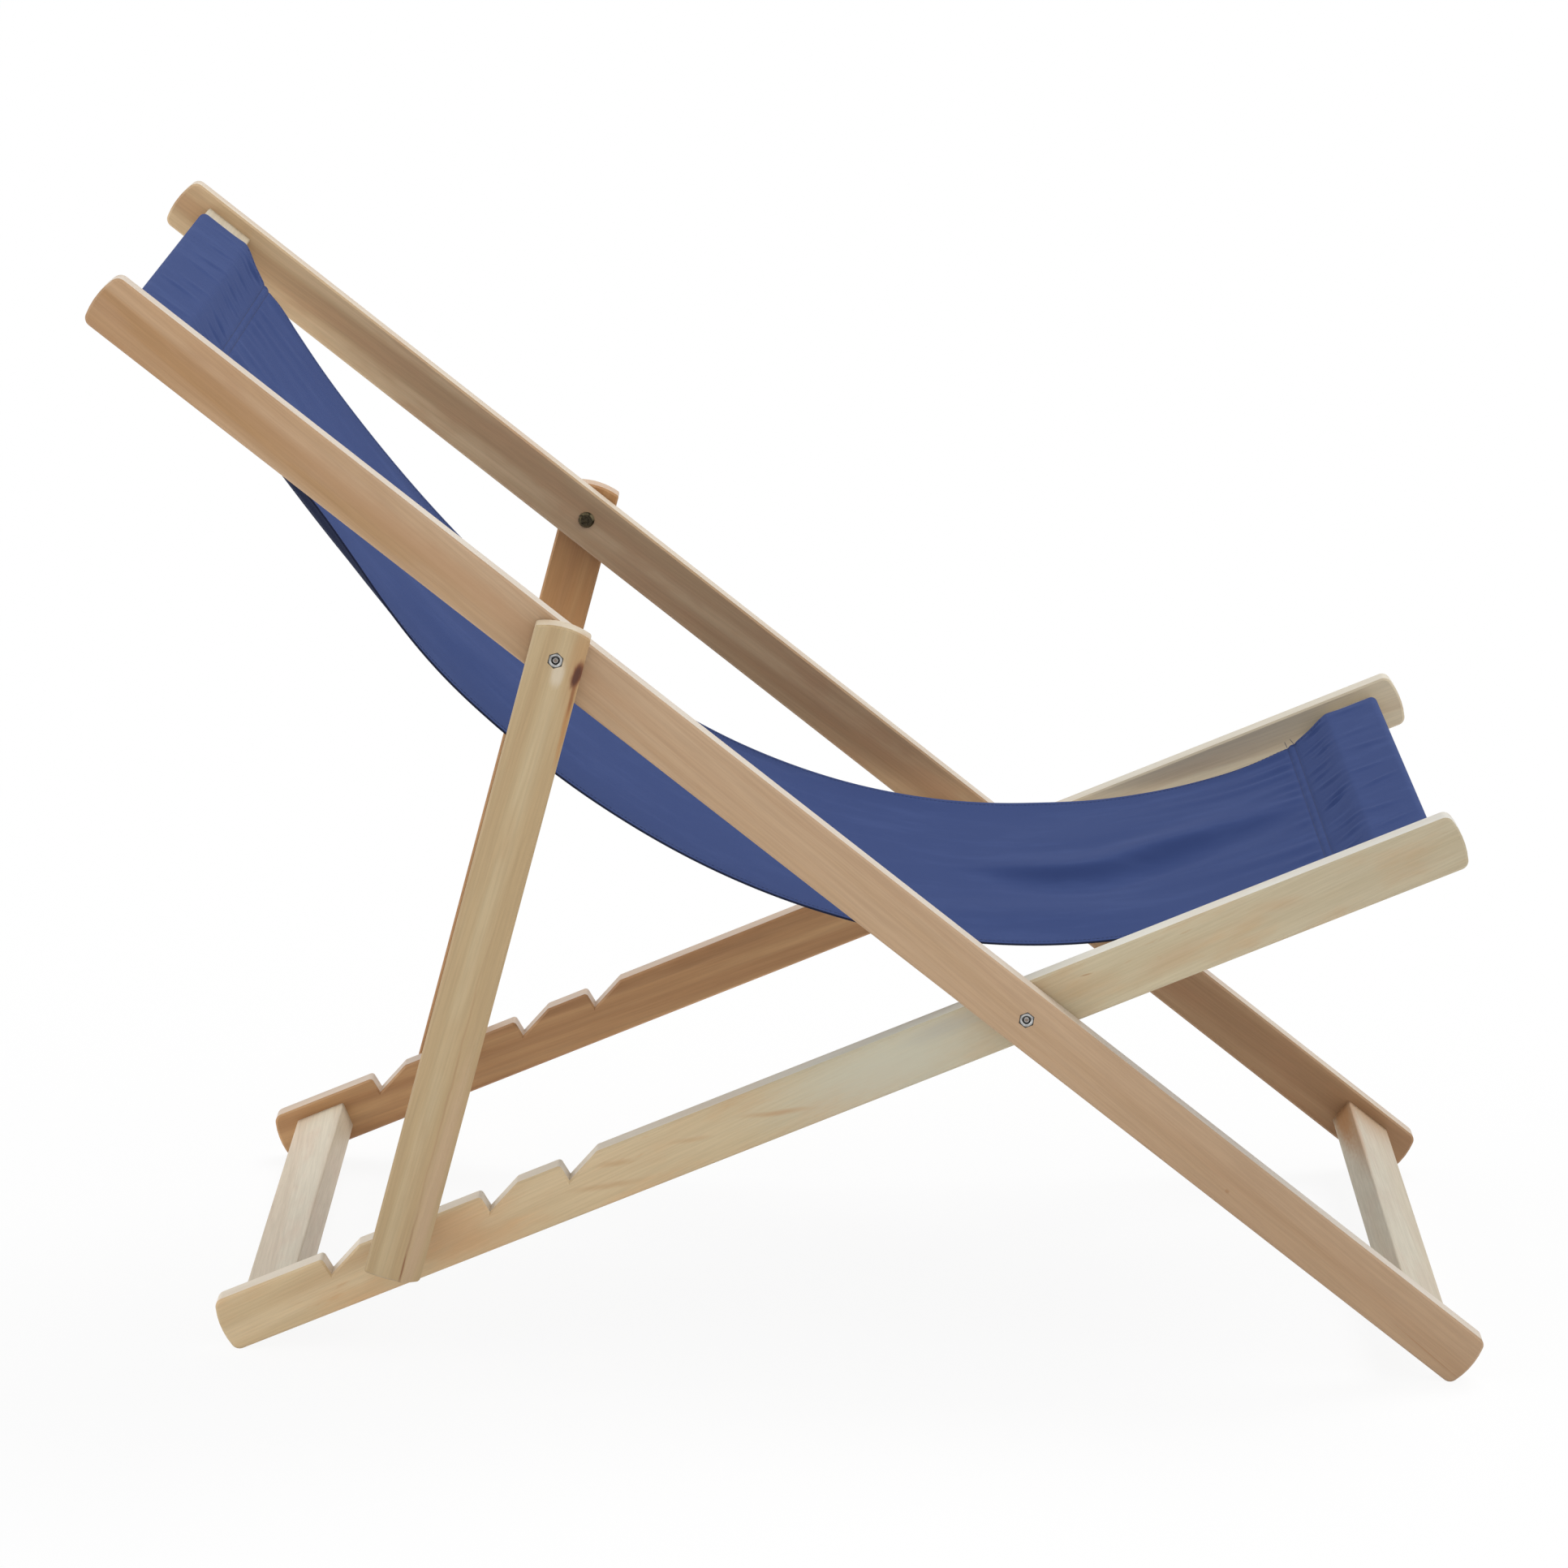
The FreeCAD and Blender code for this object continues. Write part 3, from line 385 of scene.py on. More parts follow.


# Painted sheen: the pale colour that narrow faces and ends are mixed towards, standing in for the white
# background's reflection at a grazing view
PALE_EDGE_SHEEN = (0.735, 0.72, 0.65)
RING_BROWN = (0.36, 0.19, 0.085)
FLECK_BROWN = (0.44, 0.235, 0.10)
KNOT_HEART = (0.055, 0.010, 0.002)
KNOT_RED = (0.20, 0.055, 0.012)
KNOT_HALO = (0.44, 0.22, 0.075)
CRACK_BROWN = (0.28, 0.145, 0.06)
BEVEL_PINK = (0.56, 0.385, 0.245)
STAIN_GREY = (0.36, 0.35, 0.33)
PATCH_GREY = (0.56, 0.55, 0.44)
RESIN_ORANGE = (0.46, 0.24, 0.10)
CHALK = (0.74, 0.66, 0.54)
STREAK_TAN = (0.455, 0.265, 0.135)
# Painted shade for the foot bar's far end, warm like light bounced from the far back rail
FOOT_BAR_SHADE = (0.40, 0.205, 0.088)

# Near back rail. Its turn lightens the rail's top end: partly the wood's own paler tone, partly painted
# light over the shade beside the prop leg's top
TAN = Pine((0.535, 0.365, 0.225), (0.415, 0.245, 0.112), (0.455, 0.285, 0.16), slant=0.035, pale=0.6,
           turn=(-0.64, -0.46, (0.51, 0.345, 0.21), 0.65),
           tints=((-0.6, -0.8, (0.99, 0.93, 0.86)), (-0.02, 0.25, (0.88, 0.86, 0.84))))
# Near seat rail. Its washes are painted light: lighter and warmer towards the rear and a little darker
# towards the front, making up for the chair's shade there, and they also cover the narrow faces
CREAM = Pine((0.56, 0.475, 0.315), (0.505, 0.415, 0.26), (0.535, 0.375, 0.21), lines=0.05,
             flecks=0.25, slant=-0.06, ring_width=14 * MM, pale=0.85,
             washes=((0.0, -0.5, (1.28, 1.17, 1.08)), (0.1, 0.3, (0.92, 0.93, 0.96))))
STRAW = Pine((0.555, 0.435, 0.258), (0.475, 0.335, 0.175), (0.50, 0.355, 0.19), lines=0.12, pale=0.3)
SHADED = Pine((0.64, 0.455, 0.262), (0.465, 0.295, 0.152), (0.51, 0.305, 0.158), lines=0.35,
              slant=-0.02, tints=((-0.6, 0.3, (0.72, 0.625, 0.56)),))
# Far seat rail: its orange is partly the pine's own and partly painted warm light, bounced from the wooden
# parts
RUSSET = Pine((0.63, 0.365, 0.168), (0.43, 0.213, 0.085), (0.525, 0.28, 0.119), lines=0.35,
              turn=(-0.02, 0.1, (0.60, 0.525, 0.38), 0.9))
AMBER = Pine((0.56, 0.33, 0.142), (0.45, 0.222, 0.08), (0.50, 0.265, 0.103), pale=0.3)
PALE = Pine((0.535, 0.48, 0.365), (0.49, 0.408, 0.283), (0.51, 0.422, 0.312), lines=0.1, pale=0.0)
BLOND = Pine((0.71, 0.63, 0.485), (0.66, 0.55, 0.405), (0.68, 0.54, 0.40), lines=0.15, pale=0.0)

PROP_MARKS = (
    Mark(430, 14, (110, 7), BEVEL_PINK, 0.55, soft=0.5),
    Mark(0, 19, (32, 8), KNOT_HALO, 0.5, slope=0.05, soft=0.8),
    Mark(42, 18.6, (30, 1.7), KNOT_HALO, 0.9, soft=0.7, wave=3),
    Mark(22, 18.4, (14, 1.2), KNOT_RED, 0.6, soft=0.6, wave=3),
    Mark(6, 18.2, (10, 3.8), KNOT_RED, 0.95, slope=-0.12, soft=0.45, wave=2),
    Mark(7, 17.8, (7.5, 2.6), KNOT_HEART, 0.8, slope=-0.12, soft=0.5),
    Mark(9, 4, (9, 4.5), CHALK, 0.5, soft=0.5),
    Mark(342, 6.2, (100, 0.7), RING_BROWN, 0.35, soft=0.8, wave=5),
    Mark(484, 6.2, (40, 0.9), CRACK_BROWN, 0.6, soft=0.7, wave=3),
    Mark(478, 6.2, (9, 0.5), KNOT_RED, 0.6, soft=0.5, wave=3),
)
BACK_MARKS = (
    Mark(-570, 1, (150, 7), STREAK_TAN, 0.75, wave=4),
    Mark(200.7, -9.1, (1.8, 1.2), RING_BROWN, 0.7, soft=0.35),
    Mark(398, -12, (28, 0.5), RING_BROWN, 0.7, slope=-0.045, soft=0.6),
)
SEAT_MARKS = (
    Mark(-105, 0, (75, 26), PATCH_GREY, 0.75),
    Mark(118, -3, (24, 7), RESIN_ORANGE, 0.3, slope=0.1, wave=5),
    Mark(205, 6, (16, 4), RESIN_ORANGE, 0.25, slope=-0.2, wave=5),
    Mark(52.6, 9.7, (4, 0.5), RING_BROWN, 0.7, slope=-0.1, soft=0.6),
    Mark(-60, 12, (26, 6), STAIN_GREY, 0.35, soft=0.8),
    Mark(-465, -3, (36, 13), RESIN_ORANGE, 0.3, slope=-0.1),
    Mark(-560, 9, (40, 7), RESIN_ORANGE, 0.2, slope=0.1),
    Mark(-201, -2, (19, 1.8), RESIN_ORANGE, 0.55, slope=-0.27, wave=5),
    Mark(-340, -7, (22, 2.0), RESIN_ORANGE, 0.4, slope=-0.2, wave=5),
    Mark(-328, 7, (11, 1.8), RESIN_ORANGE, 0.4, slope=-0.2, wave=4),
    Mark(-270, 2.7, (12, 1.6), RESIN_ORANGE, 0.35, slope=-0.2, wave=4),
)
# Painted shade: warm brown at the foot bar's far end and along one edge there, next to the far back rail
FOOT_BAR_MARKS = (
    Mark(268, -6, (55, 30), FOOT_BAR_SHADE, 0.55, face=1),
    Mark(268, -22, (110, 16), FOOT_BAR_SHADE, 0.95, soft=0.5, face=0),
    Mark(170, -21, (80, 3), FOOT_BAR_SHADE, 0.65, soft=0.8, face=1),
)


def pine(plank, look, marks):
    """Planed raw pine for one piece, with its own figure."""
    material, net, shader = new_material("pine_" + plank.node)
    position = plank.position(net)
    along = net.parts(position)["X"]
    figure = net.group(PINE_FIGURE, {
        "Position": position, "Offset": plank.offset, "Slant": look.slant, "Ring Width": look.ring_width})

    def tinted(colour, tints):
        """Colour multiplied by tints, each reached between two places along the plank."""
        for start, end, tint in tints:
            colour = net.mix(net.step(along, start, end), colour, tint, "MULTIPLY")
        return colour

    colour = net.mix(net.step(figure["Streak"], 0.36, 0.62), look.light, look.dark)
    colour = net.mix(net.step(figure["Mottle"], 0.44, 0.7, 0.0, 0.75), colour, look.warm)
    if look.turn:
        start, end, second, strength = look.turn
        colour = net.mix(net.step(along, start, end, 0.0, strength), colour, second)
    colour = tinted(colour, look.tints)
    colour = net.mix(net.times(figure["Lines"], look.lines), colour, RING_BROWN)
    colour = net.mix(net.times(figure["Fleck"], look.flecks), colour, FLECK_BROWN)
    colour = net.mix(1.0, colour, net.step(figure["Fibre"], 0.3, 0.7, 0.94, 1.05), "MULTIPLY")
    narrow = net.group(NARROW_FACES, {
        "Normal": net.place("Normal"), "Along": plank.along, "Across": plank.across})["Mask"]
    # Painted sheen on the narrow faces and ends, patchy with the mottling
    narrow = net.times(narrow, net.step(figure["Mottle"], 0.3, 0.7, 1.0, 0.75))
    colour = net.mix(net.times(narrow, look.pale), colour, PALE_EDGE_SHEEN)
    # Washes: painted light along the plank, over every face
    colour = tinted(colour, look.washes)
    for mark in marks:
        mask = net.group(WOOD_MARK, {"Position": position, **mark.inputs})["Mask"]
        colour = net.mix(net.times(mask, mark.strength), colour, mark.colour)
    height = net.math("MULTIPLY_ADD", figure["Lines"], 0.5, figure["Fibre"])
    net.fill(shader, {
        "Base Color": colour, "Roughness": net.step(figure["Fibre"], 0.2, 0.8, 0.54, 0.42),
        "Normal": net.bump(height, 0.3, 0.12 * MM), "Specular IOR Level": 0.5})
    return material


def finish_wood():
    """Gives every wooden piece its own pine."""
    back_up = BACK_WAY.cross(CROSS_WAY)
    seat_up = SEAT_WAY.cross(CROSS_WAY)
    prop_front = PROP_WAY.cross(CROSS_WAY)
    planks = (
        (Plank("back_rail_right", BACK_WAY, back_up, PIVOT), TAN, BACK_MARKS),
        (Plank("back_rail_left", BACK_WAY, back_up, PIVOT), SHADED, ()),
        (Plank("seat_rail_right", SEAT_WAY, seat_up, PIVOT), CREAM, SEAT_MARKS),
        (Plank("seat_rail_left", SEAT_WAY, seat_up, PIVOT), RUSSET, ()),
        (Plank("prop_leg_right", PROP_WAY, prop_front, PROP_BOLT), STRAW, PROP_MARKS),
        (Plank("prop_leg_left", PROP_WAY, prop_front, PROP_BOLT), AMBER, ()),
        (Plank("back_top_bar", CROSS_WAY, BACK_WAY), PALE, ()),
        (Plank("back_foot_bar", CROSS_WAY, BACK_WAY), PALE, FOOT_BAR_MARKS),
        (Plank("seat_front_bar", CROSS_WAY, SEAT_WAY), PALE, ()),
        (Plank("seat_rear_bar", CROSS_WAY, SEAT_WAY), BLOND, ()),
        (Plank("prop_bar", CROSS_WAY, PROP_WAY), STRAW, ()),
    )
    for plank, look, marks in planks:
        frame["nodes"][plank.node].material_slots[0].material = pine(plank, look, marks)


# Metal

SILVER = (0.50, 0.50, 0.49)
SILVER_DULL = (0.30, 0.30, 0.30)
BRASSY = (0.105, 0.085, 0.048)
BRASSY_DULL = (0.030, 0.024, 0.014)
# Grime and painted shade, for the dark rim of nuts and heads and the gap round the thread
GRIME_AND_SHADE = (0.055, 0.048, 0.042)
RUST = (0.17, 0.115, 0.08)
NUT_RIM = 4.4 * MM
RIM_SOFT = 0.7 * MM
BOLT_RADIUS = 3 * MM
THREAD_IN = 0.3 * MM
THREAD_OUT = 0.4 * MM
RUST_FULL = 0.9 * MM
RUST_END = 1.9 * MM
HEAD_BLEND = 1 * MM


def plating():
    """Dull patches and fine scratches of zinc plating."""
    net, given, result = new_group("plating", ("Position",), (), ("Patches", "Scratches"))
    patches = net.noise(given["Position"], (420.0, 420.0, 420.0), 4.0)
    net.fill(result, {"Patches": net.step(patches, 0.4, 0.68)})
    net.fill(result, {"Scratches": net.noise(given["Position"], (900.0, 300.0, 2600.0))})
    return net.tree


PLATING = plating()


def zinc(name, axis=None, head_end=None):
    """Zinc plated steel. Round an axis it is darkened at the rim and round the thread, with grime and
    painted shade of the recess and the gap there, and rusty at the bolt's end. A bolt's head, which ends at
    a distance from the chair's middle, is yellowed."""
    material, net, shader = new_material(name)
    position = net.place("Object")
    wear = net.group(PLATING, {"Position": position})
    colour = net.mix(wear["Patches"], SILVER, SILVER_DULL)
    if axis:
        offset = net.vector("MULTIPLY", net.vector("SUBTRACT", position, axis), (1.0, 0.0, 1.0))
        radius = net.vector("LENGTH", offset)
        rim = net.step(radius, NUT_RIM, NUT_RIM + RIM_SOFT)
        thread_in = net.step(radius, BOLT_RADIUS - THREAD_IN, BOLT_RADIUS)
        thread_out = net.step(radius, BOLT_RADIUS, BOLT_RADIUS + THREAD_OUT, 1.0, 0.0)
        # Grime and painted shade: a dark ring at the rim of a nut or head and round the thread's gap
        grime_and_shade = net.math("MAXIMUM", rim, net.times(thread_in, thread_out))
        colour = net.mix(net.times(grime_and_shade, 0.85), colour, GRIME_AND_SHADE)
        colour = net.mix(net.step(radius, RUST_FULL, RUST_END, 0.8, 0.0), colour, RUST)
    if head_end:
        side = net.parts(net.vector("ABSOLUTE", position))["Y"]
        head = net.step(side, head_end, head_end + HEAD_BLEND, 1.0, 0.0)
        colour = net.mix(head, colour, net.mix(wear["Patches"], BRASSY, BRASSY_DULL))
    net.fill(shader, {
        "Base Color": colour, "Roughness": net.step(wear["Scratches"], 0.3, 0.7, 0.26, 0.42),
        "Normal": net.bump(wear["Scratches"], 0.15, 0.05 * MM), "Metallic": 1.0})
    return material


def inner_face(node):
    """Distance of a rail's inner face from the middle of the chair."""
    low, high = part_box(node)
    return min(abs(low.y), abs(high.y))


def finish_metal():
    """Gives bolts, nuts and washers their plating."""
    finishes = {
        "pivot_bolt_": zinc("zinc_pivot_bolt", PIVOT, inner_face("seat_rail_left")),
        "prop_bolt_": zinc("zinc_prop_bolt", PROP_BOLT, inner_face("back_rail_left")),
        "pivot_nut_": zinc("zinc_pivot_nut", PIVOT),
        "prop_nut_": zinc("zinc_prop_nut", PROP_BOLT),
        "washer_": zinc("zinc_washer"),
    }
    for name, item in frame["nodes"].items():
        for part, finish in finishes.items():
            if part in name:
                item.material_slots[0].material = finish


# Canvas

def plain_weave():
    """Height and thread tone of a plain weave, from a position on the flat cloth in metres."""
    net, given, result = new_group("plain_weave", ("Position",), ("Thread",), ("Height", "Tone", "Mottle"))
    position = given["Position"]
    slub = net.noise(position, (300.0, 300.0, 300.0), output="Color")
    slub = net.vector("SUBTRACT", slub, (0.5, 0.5, 0.5))
    slub = net.vector("MULTIPLY", slub, (0.0003, 0.0003, 0.0))
    uneven = net.vector("ADD", position, slub)
    parts = net.parts(uneven)
    half_turn = net.math("DIVIDE", math.pi, given["Thread"])
    warp = net.math("SINE", net.times(parts["X"], half_turn))
    weft = net.math("SINE", net.times(parts["Y"], half_turn))
    crossing = net.times(warp, weft)
    net.fill(result, {"Height": net.math("ABSOLUTE", crossing)})
    net.fill(result, {"Tone": net.math("MULTIPLY_ADD", crossing, 0.5, 0.5)})
    net.fill(result, {"Mottle": net.noise(position, (34.0, 12.0, 20.0), 4.0, 0.6)})
    return net.tree


PLAIN_WEAVE = plain_weave()
NAVY = (0.038, 0.066, 0.198)
NAVY_DARK = (0.030, 0.053, 0.164)
NAVY_WORN = (0.052, 0.084, 0.226)
# Painted shade: the cloth's underside and cut edges are darker than its upper face, though the canvas is
# dyed alike on both sides
UNDERSIDE_SHADE = (0.016, 0.022, 0.052)
UNDERSIDE_SHADE_DARK = (0.011, 0.016, 0.040)
UNDERSIDE_SHADE_WORN = (0.019, 0.027, 0.064)
# Painted shadow along the folds of the side hems
HEM_SHADOW_NAVY = (0.012, 0.015, 0.034)
THREAD_NAVY = (0.018, 0.026, 0.078)
SHEEN_BLUE = (0.5, 0.6, 0.9)
YARN = 0.62 * MM
EDGE_DARK_END = 0.2 * MM
EDGE_FADE_END = 1.1 * MM


def canvas(name, cut_length, dark, light, worn):
    """Cotton canvas in plain weave on the map of the flat cut, with its dark, light and worn colours, and a
    painted shadow line along the folds of its side hems.
    """
    material, net, shader = new_material(name)
    flat = net.add("UVMap", uv_map="cut").outputs["UV"]
    position = net.vector("MULTIPLY", flat, (CUT_WIDTH, cut_length, 0.0))
    weave = net.group(PLAIN_WEAVE, {"Position": position, "Thread": YARN})
    colour = net.mix(net.step(weave["Tone"], 0.15, 0.85), dark, light)
    colour = net.mix(net.step(weave["Mottle"], 0.45, 0.75, 0.0, 0.45), colour, worn)
    width = net.parts(position)["X"]
    side = net.math("MINIMUM", width, net.math("SUBTRACT", CUT_WIDTH, width))
    # Painted shadow: a thin dark line at the fold of each side hem
    fold = HEM_WIDTH + LAYER_STEP * math.pi / 4
    edge = net.step(side, fold + EDGE_DARK_END, fold + EDGE_FADE_END, 0.9, 0.0)
    colour = net.mix(edge, colour, HEM_SHADOW_NAVY)
    net.fill(shader, {
        "Base Color": colour, "Roughness": net.step(weave["Height"], 0.0, 1.0, 0.94, 0.8),
        "Normal": net.bump(weave["Height"], 0.3, 0.12 * MM), "Specular IOR Level": 0.12,
        "Sheen Weight": 0.06, "Sheen Roughness": 0.4, "Sheen Tint": SHEEN_BLUE})
    return material


def sewing_thread():
    """Twisted navy sewing thread."""
    material, net, shader = new_material("sewing_thread")
    position = net.place("Object")
    twist = net.add("TexWave", {"Vector": position, "Scale": 900.0, "Distortion": 1.5},
                wave_type="BANDS", bands_direction="DIAGONAL").outputs["Fac"]
    colour = net.mix(twist, THREAD_NAVY, NAVY_DARK)
    net.fill(shader, {
        "Base Color": colour, "Roughness": net.step(twist, 0.0, 1.0, 0.65, 0.5),
        "Normal": net.bump(twist, 0.4, 0.08 * MM), "Specular IOR Level": 0.2})
    return material


# Sling

def smooth_step(value, low, high):
    """0 below low, 1 above high, smooth between."""
    share = min(1.0, max(0.0, (value - low) / (high - low)))
    return share * share * (3 - 2 * share)


def eased(values, rounds):
    """Row of numbers or points with its kinks softened, its ends kept."""
    for _ in range(rounds):
        inner = [b * 0.5 + (a + c) * 0.25 for a, b, c in zip(values, values[1:], values[2:])]
        values = values[:1] + inner + values[-1:]
    return values


def catenary(start, end, slack):
    """Hanging curve between two points, with slack in it: its point at a share, and its length."""
    run = end.x - start.x
    climb = end.z - start.z
    length = math.hypot(run, climb) + slack
    target = math.sqrt(length ** 2 - climb ** 2) / run
    low = 1e-6
    high = 10.0
    for _ in range(80):
        guess = (low + high) / 2
        if math.sinh(guess) / guess < target:
            low = guess
        else:
            high = guess
    scale = run / (2 * low)
    centre = (start.x + end.x) / 2 - scale * math.atanh(climb / length)
    base = start.z - scale * math.cosh((start.x - centre) / scale)
    first = math.sinh((start.x - centre) / scale)
    last = math.sinh((end.x - centre) / scale)

    def at(share):
        slope = first + (last - first) * share
        return Vector((centre + scale * math.asinh(slope), 0, base + scale * math.sqrt(1 + slope ** 2)))

    return at, length


class Pocket:
    """Section of a sewn pocket: cloth round a flat bar, drawn together at a seam."""

    def __init__(self, bar, toward, reach, drop):
        self.bar = bar
        self.toward = toward
        self.up = Vector((-toward.z, 0, toward.x))
        if self.up.z < 0:
            self.up.negate()
        self.seam = self.point(reach, -drop)
        self.reach = reach
        self.drop = drop
        self.radius = BAR_EDGE_ROUND + POCKET_GAP + CLOTH_THICKNESS / 2 + POCKET_LOOSE * math.sqrt(2)

    def point(self, along, height):
        """Point of the section, along the rail towards the seam and above the bar's middle."""
        return self.bar + self.toward * along + self.up * height

    def arc(self, along, height, start, end):
        """Points round a corner of the bar, between two angles in degrees."""
        angles = [math.radians(start + (end - start) * i / ARC_STEPS) for i in range(ARC_STEPS + 1)]
        turn = [(self.radius * math.cos(a), self.radius * math.sin(a)) for a in angles]
        return [self.point(along + x, height + z) for x, z in turn]

    def tangent(self, along, height, seam_height, side):
        """Angle at which the cloth from the seam meets a near corner of the bar."""
        away = math.degrees(math.atan2(seam_height - height, self.reach - along))
        span = math.hypot(seam_height - height, self.reach - along)
        return away + side * math.degrees(math.acos(self.radius / span))

    def wrap(self):
        """Loose cloth from the bar's near upper corner round the bar to its near lower corner."""
        side = PLANK_WIDTH / 2 - BAR_EDGE_ROUND - POCKET_LOOSE
        high = PLANK_THICKNESS / 2 - BAR_EDGE_ROUND - POCKET_LOOSE
        upper = self.tangent(side, high, -self.drop, 1)
        lower = self.tangent(side, -high, -self.drop - LAYER_STEP, -1)
        far = self.arc(-side, high, 90, 180) + self.arc(-side, -high, 180, 270)
        return self.arc(side, high, upper, 90) + far + self.arc(side, -high, 270, 360 + lower)


def spaced(points, step):
    """The same line with long spans divided."""
    line = [points[0]]
    for a, b in zip(points, points[1:]):
        count = max(1, math.ceil((b - a).length / step))
        line += [a.lerp(b, i / count) for i in range(1, count + 1)]
    return line


def normals_of(points):
    """Normals of a line in the XZ plane, to its left."""
    normals = []
    for i in range(len(points)):
        way = (points[min(i + 1, len(points) - 1)] - points[max(i - 1, 0)]).normalized()
        normals.append(Vector((-way.z, 0, way.x)))
    return normals


class SlingLine:
    """Mid-line of the cloth, from its free end at the top seam to its free end at the front seam."""

    def __init__(self):
        self.top = Pocket(TOP_BAR, BACK_WAY, TOP_SEAM_REACH, TOP_SEAM_DROP)
        self.front = Pocket(FRONT_BAR, -SEAT_WAY, FRONT_SEAM_REACH, FRONT_SEAM_DROP)
        top_wrap = spaced(self.top.wrap(), POCKET_STEP)
        front_wrap = spaced(self.front.wrap(), POCKET_STEP)
        run = self.main_run()
        top_tent = spaced([top_wrap[0], run[0]], TENT_STEP)
        front_tent = spaced([run[-1], front_wrap[0]], TENT_STEP)
        upper = eased(top_tent + run[1:-1] + front_tent, RUN_EASING)
        start_lap = self.lap(upper, self.top.seam)[::-1]
        end_lap = self.lap(upper, self.front.seam)
        points = start_lap + spaced([start_lap[-1], top_wrap[-1]], POCKET_STEP)[1:]
        points += top_wrap[-2::-1] + upper[1:-1] + front_wrap
        points += spaced([front_wrap[-1], end_lap[0]], POCKET_STEP)[1:] + end_lap[1:]
        self.first = points.index(upper[1])
        self.last = points.index(upper[-2])
        for corner in (self.first, self.last):
            around = slice(corner - CORNER_ROWS, corner + CORNER_ROWS)
            points[around] = eased(points[around], CORNER_EASING)
        self.points = points
        self.normals = normals_of(points)
        self.lengths = [0.0]
        for a, b in zip(points, points[1:]):
            self.lengths.append(self.lengths[-1] + (b - a).length)
        self.length = self.lengths[-1]
        self.top_seam = self.nearest(self.top.seam)
        self.front_seam = self.nearest(self.front.seam)
        self.laps = {}
        for row in (*range(len(start_lap)), *range(len(points) - len(end_lap), len(points))):
            self.laps[row] = self.nearest(points[row])
        self.lap_ends = (self.lengths[len(start_lap) - 1], self.lengths[-len(end_lap)])
        self.past_top = [length - self.lengths[self.top_seam] for length in self.lengths]
        self.past_front = [self.lengths[self.front_seam] - length for length in self.lengths]

    def main_run(self):
        """Hanging part between the two seams, with closer points near them."""
        at, length = catenary(self.top.seam, self.front.seam, SLACK)
        near = [i * SEAM_STEP for i in range(SEAM_ROWS)]
        count = round((length - 2 * near[-1]) / RUN_STEP)
        span = (length - 2 * near[-1]) / count
        places = near[:-1] + [near[-1] + i * span for i in range(count + 1)]
        places += [length - d for d in reversed(near[:-1])]
        points = [at(d / length) for d in places]
        top_way = (self.top.wrap()[0] - self.top.seam).normalized()
        front_way = (self.front.wrap()[0] - self.front.seam).normalized()
        before = [self.top.seam + top_way * d for d in reversed(near[1:POCKET_SEAM_ROWS])]
        after = [self.front.seam + front_way * d for d in near[1:POCKET_SEAM_ROWS]]
        return before + points + after

    @staticmethod
    def lap(upper, seam):
        """Under layer that is sewn on below the upper one at a seam, from its inner side out."""
        normals = normals_of(upper)
        centre = min(range(len(upper)), key=lambda i: (upper[i] - seam).length)
        toward = 1 if centre < len(upper) / 2 else -1
        points = []
        for i in range(centre - LAP_ROWS_BEFORE * toward, centre + LAP_ROWS_AFTER * toward, toward):
            if (upper[i] - seam).length < SEAM_LAP:
                points.append(upper[i] - normals[i] * LAYER_STEP)
        return points

    def nearest(self, place):
        """Index of the point of the upper layer that is nearest to a place."""
        return min(range(self.first, self.last + 1), key=lambda i: (self.points[i] - place).length)

    def row_near(self, length):
        """Index of the row of the upper layer that is nearest to a length."""
        return min(range(self.first, self.last + 1), key=lambda i: abs(self.lengths[i] - length))

    def values(self, table, column=1):
        """Value at each row, from a table in millimetres by the length past the top seam."""
        found = []
        for past in self.past_top:
            place = min(max(past / MM, table[0][0]), table[-1][0])
            low, high = next((a, b) for a, b in zip(table, table[1:]) if place <= b[0])
            share = (place - low[0]) / (high[0] - low[0])
            found.append((low[column] + (high[column] - low[column]) * share) * MM)
        return eased(found, TABLE_EASING)


LINE = SlingLine()
# Shifts of the cloth to the chair's left, by the length past the top seam, in millimetres
SIDE_SHIFTS = LINE.values(((0, -10), (1014, 1)))


class Pucker:
    """Ridge at a seam: a streak along the hanging part, and a short dent in the pocket's slope."""

    def __init__(self, place, lean):
        self.place = place
        self.lean = lean * draw.uniform(0.5, 1.3)
        self.width = draw.uniform(5.5, 9.5) * MM
        self.height = draw.uniform(0.7, 2.7) * MM
        self.body_length = draw.choice((30, 45, 60, 90, 130, 170)) * MM * draw.uniform(0.8, 1.2)
        self.dent_middle = draw.uniform(-27, -15) * MM
        self.dent_half = draw.uniform(7, 13) * MM
        self.dent_lean = draw.uniform(0.1, 0.6)
        self.dent_width = draw.uniform(3.5, 5.5) * MM
        self.dent_share = draw.uniform(0.5, 1.0)

    def rise(self, across, past_seam):
        """Height of the ridge at a place, where past_seam is negative in the pocket."""
        if past_seam >= 0:
            fade = max(0.0, 1 - past_seam / self.body_length) ** 1.4
            width = self.width * (1 + 1.2 * past_seam / self.body_length)
            shift = self.lean * past_seam
        else:
            fade = self.dent_share * math.exp(-((past_seam - self.dent_middle) / self.dent_half) ** 2)
            width = self.dent_width
            shift = self.dent_lean * past_seam
        flat = 0.15 + 0.85 * smooth_step(abs(past_seam), 2.5 * MM, 12 * MM)
        share = (across - self.place - shift) / width
        if fade < 0.01 or abs(share) > 3.5:
            return 0.0
        return self.height * fade * flat * (1 - share * share) * math.exp(-share * share / 2)


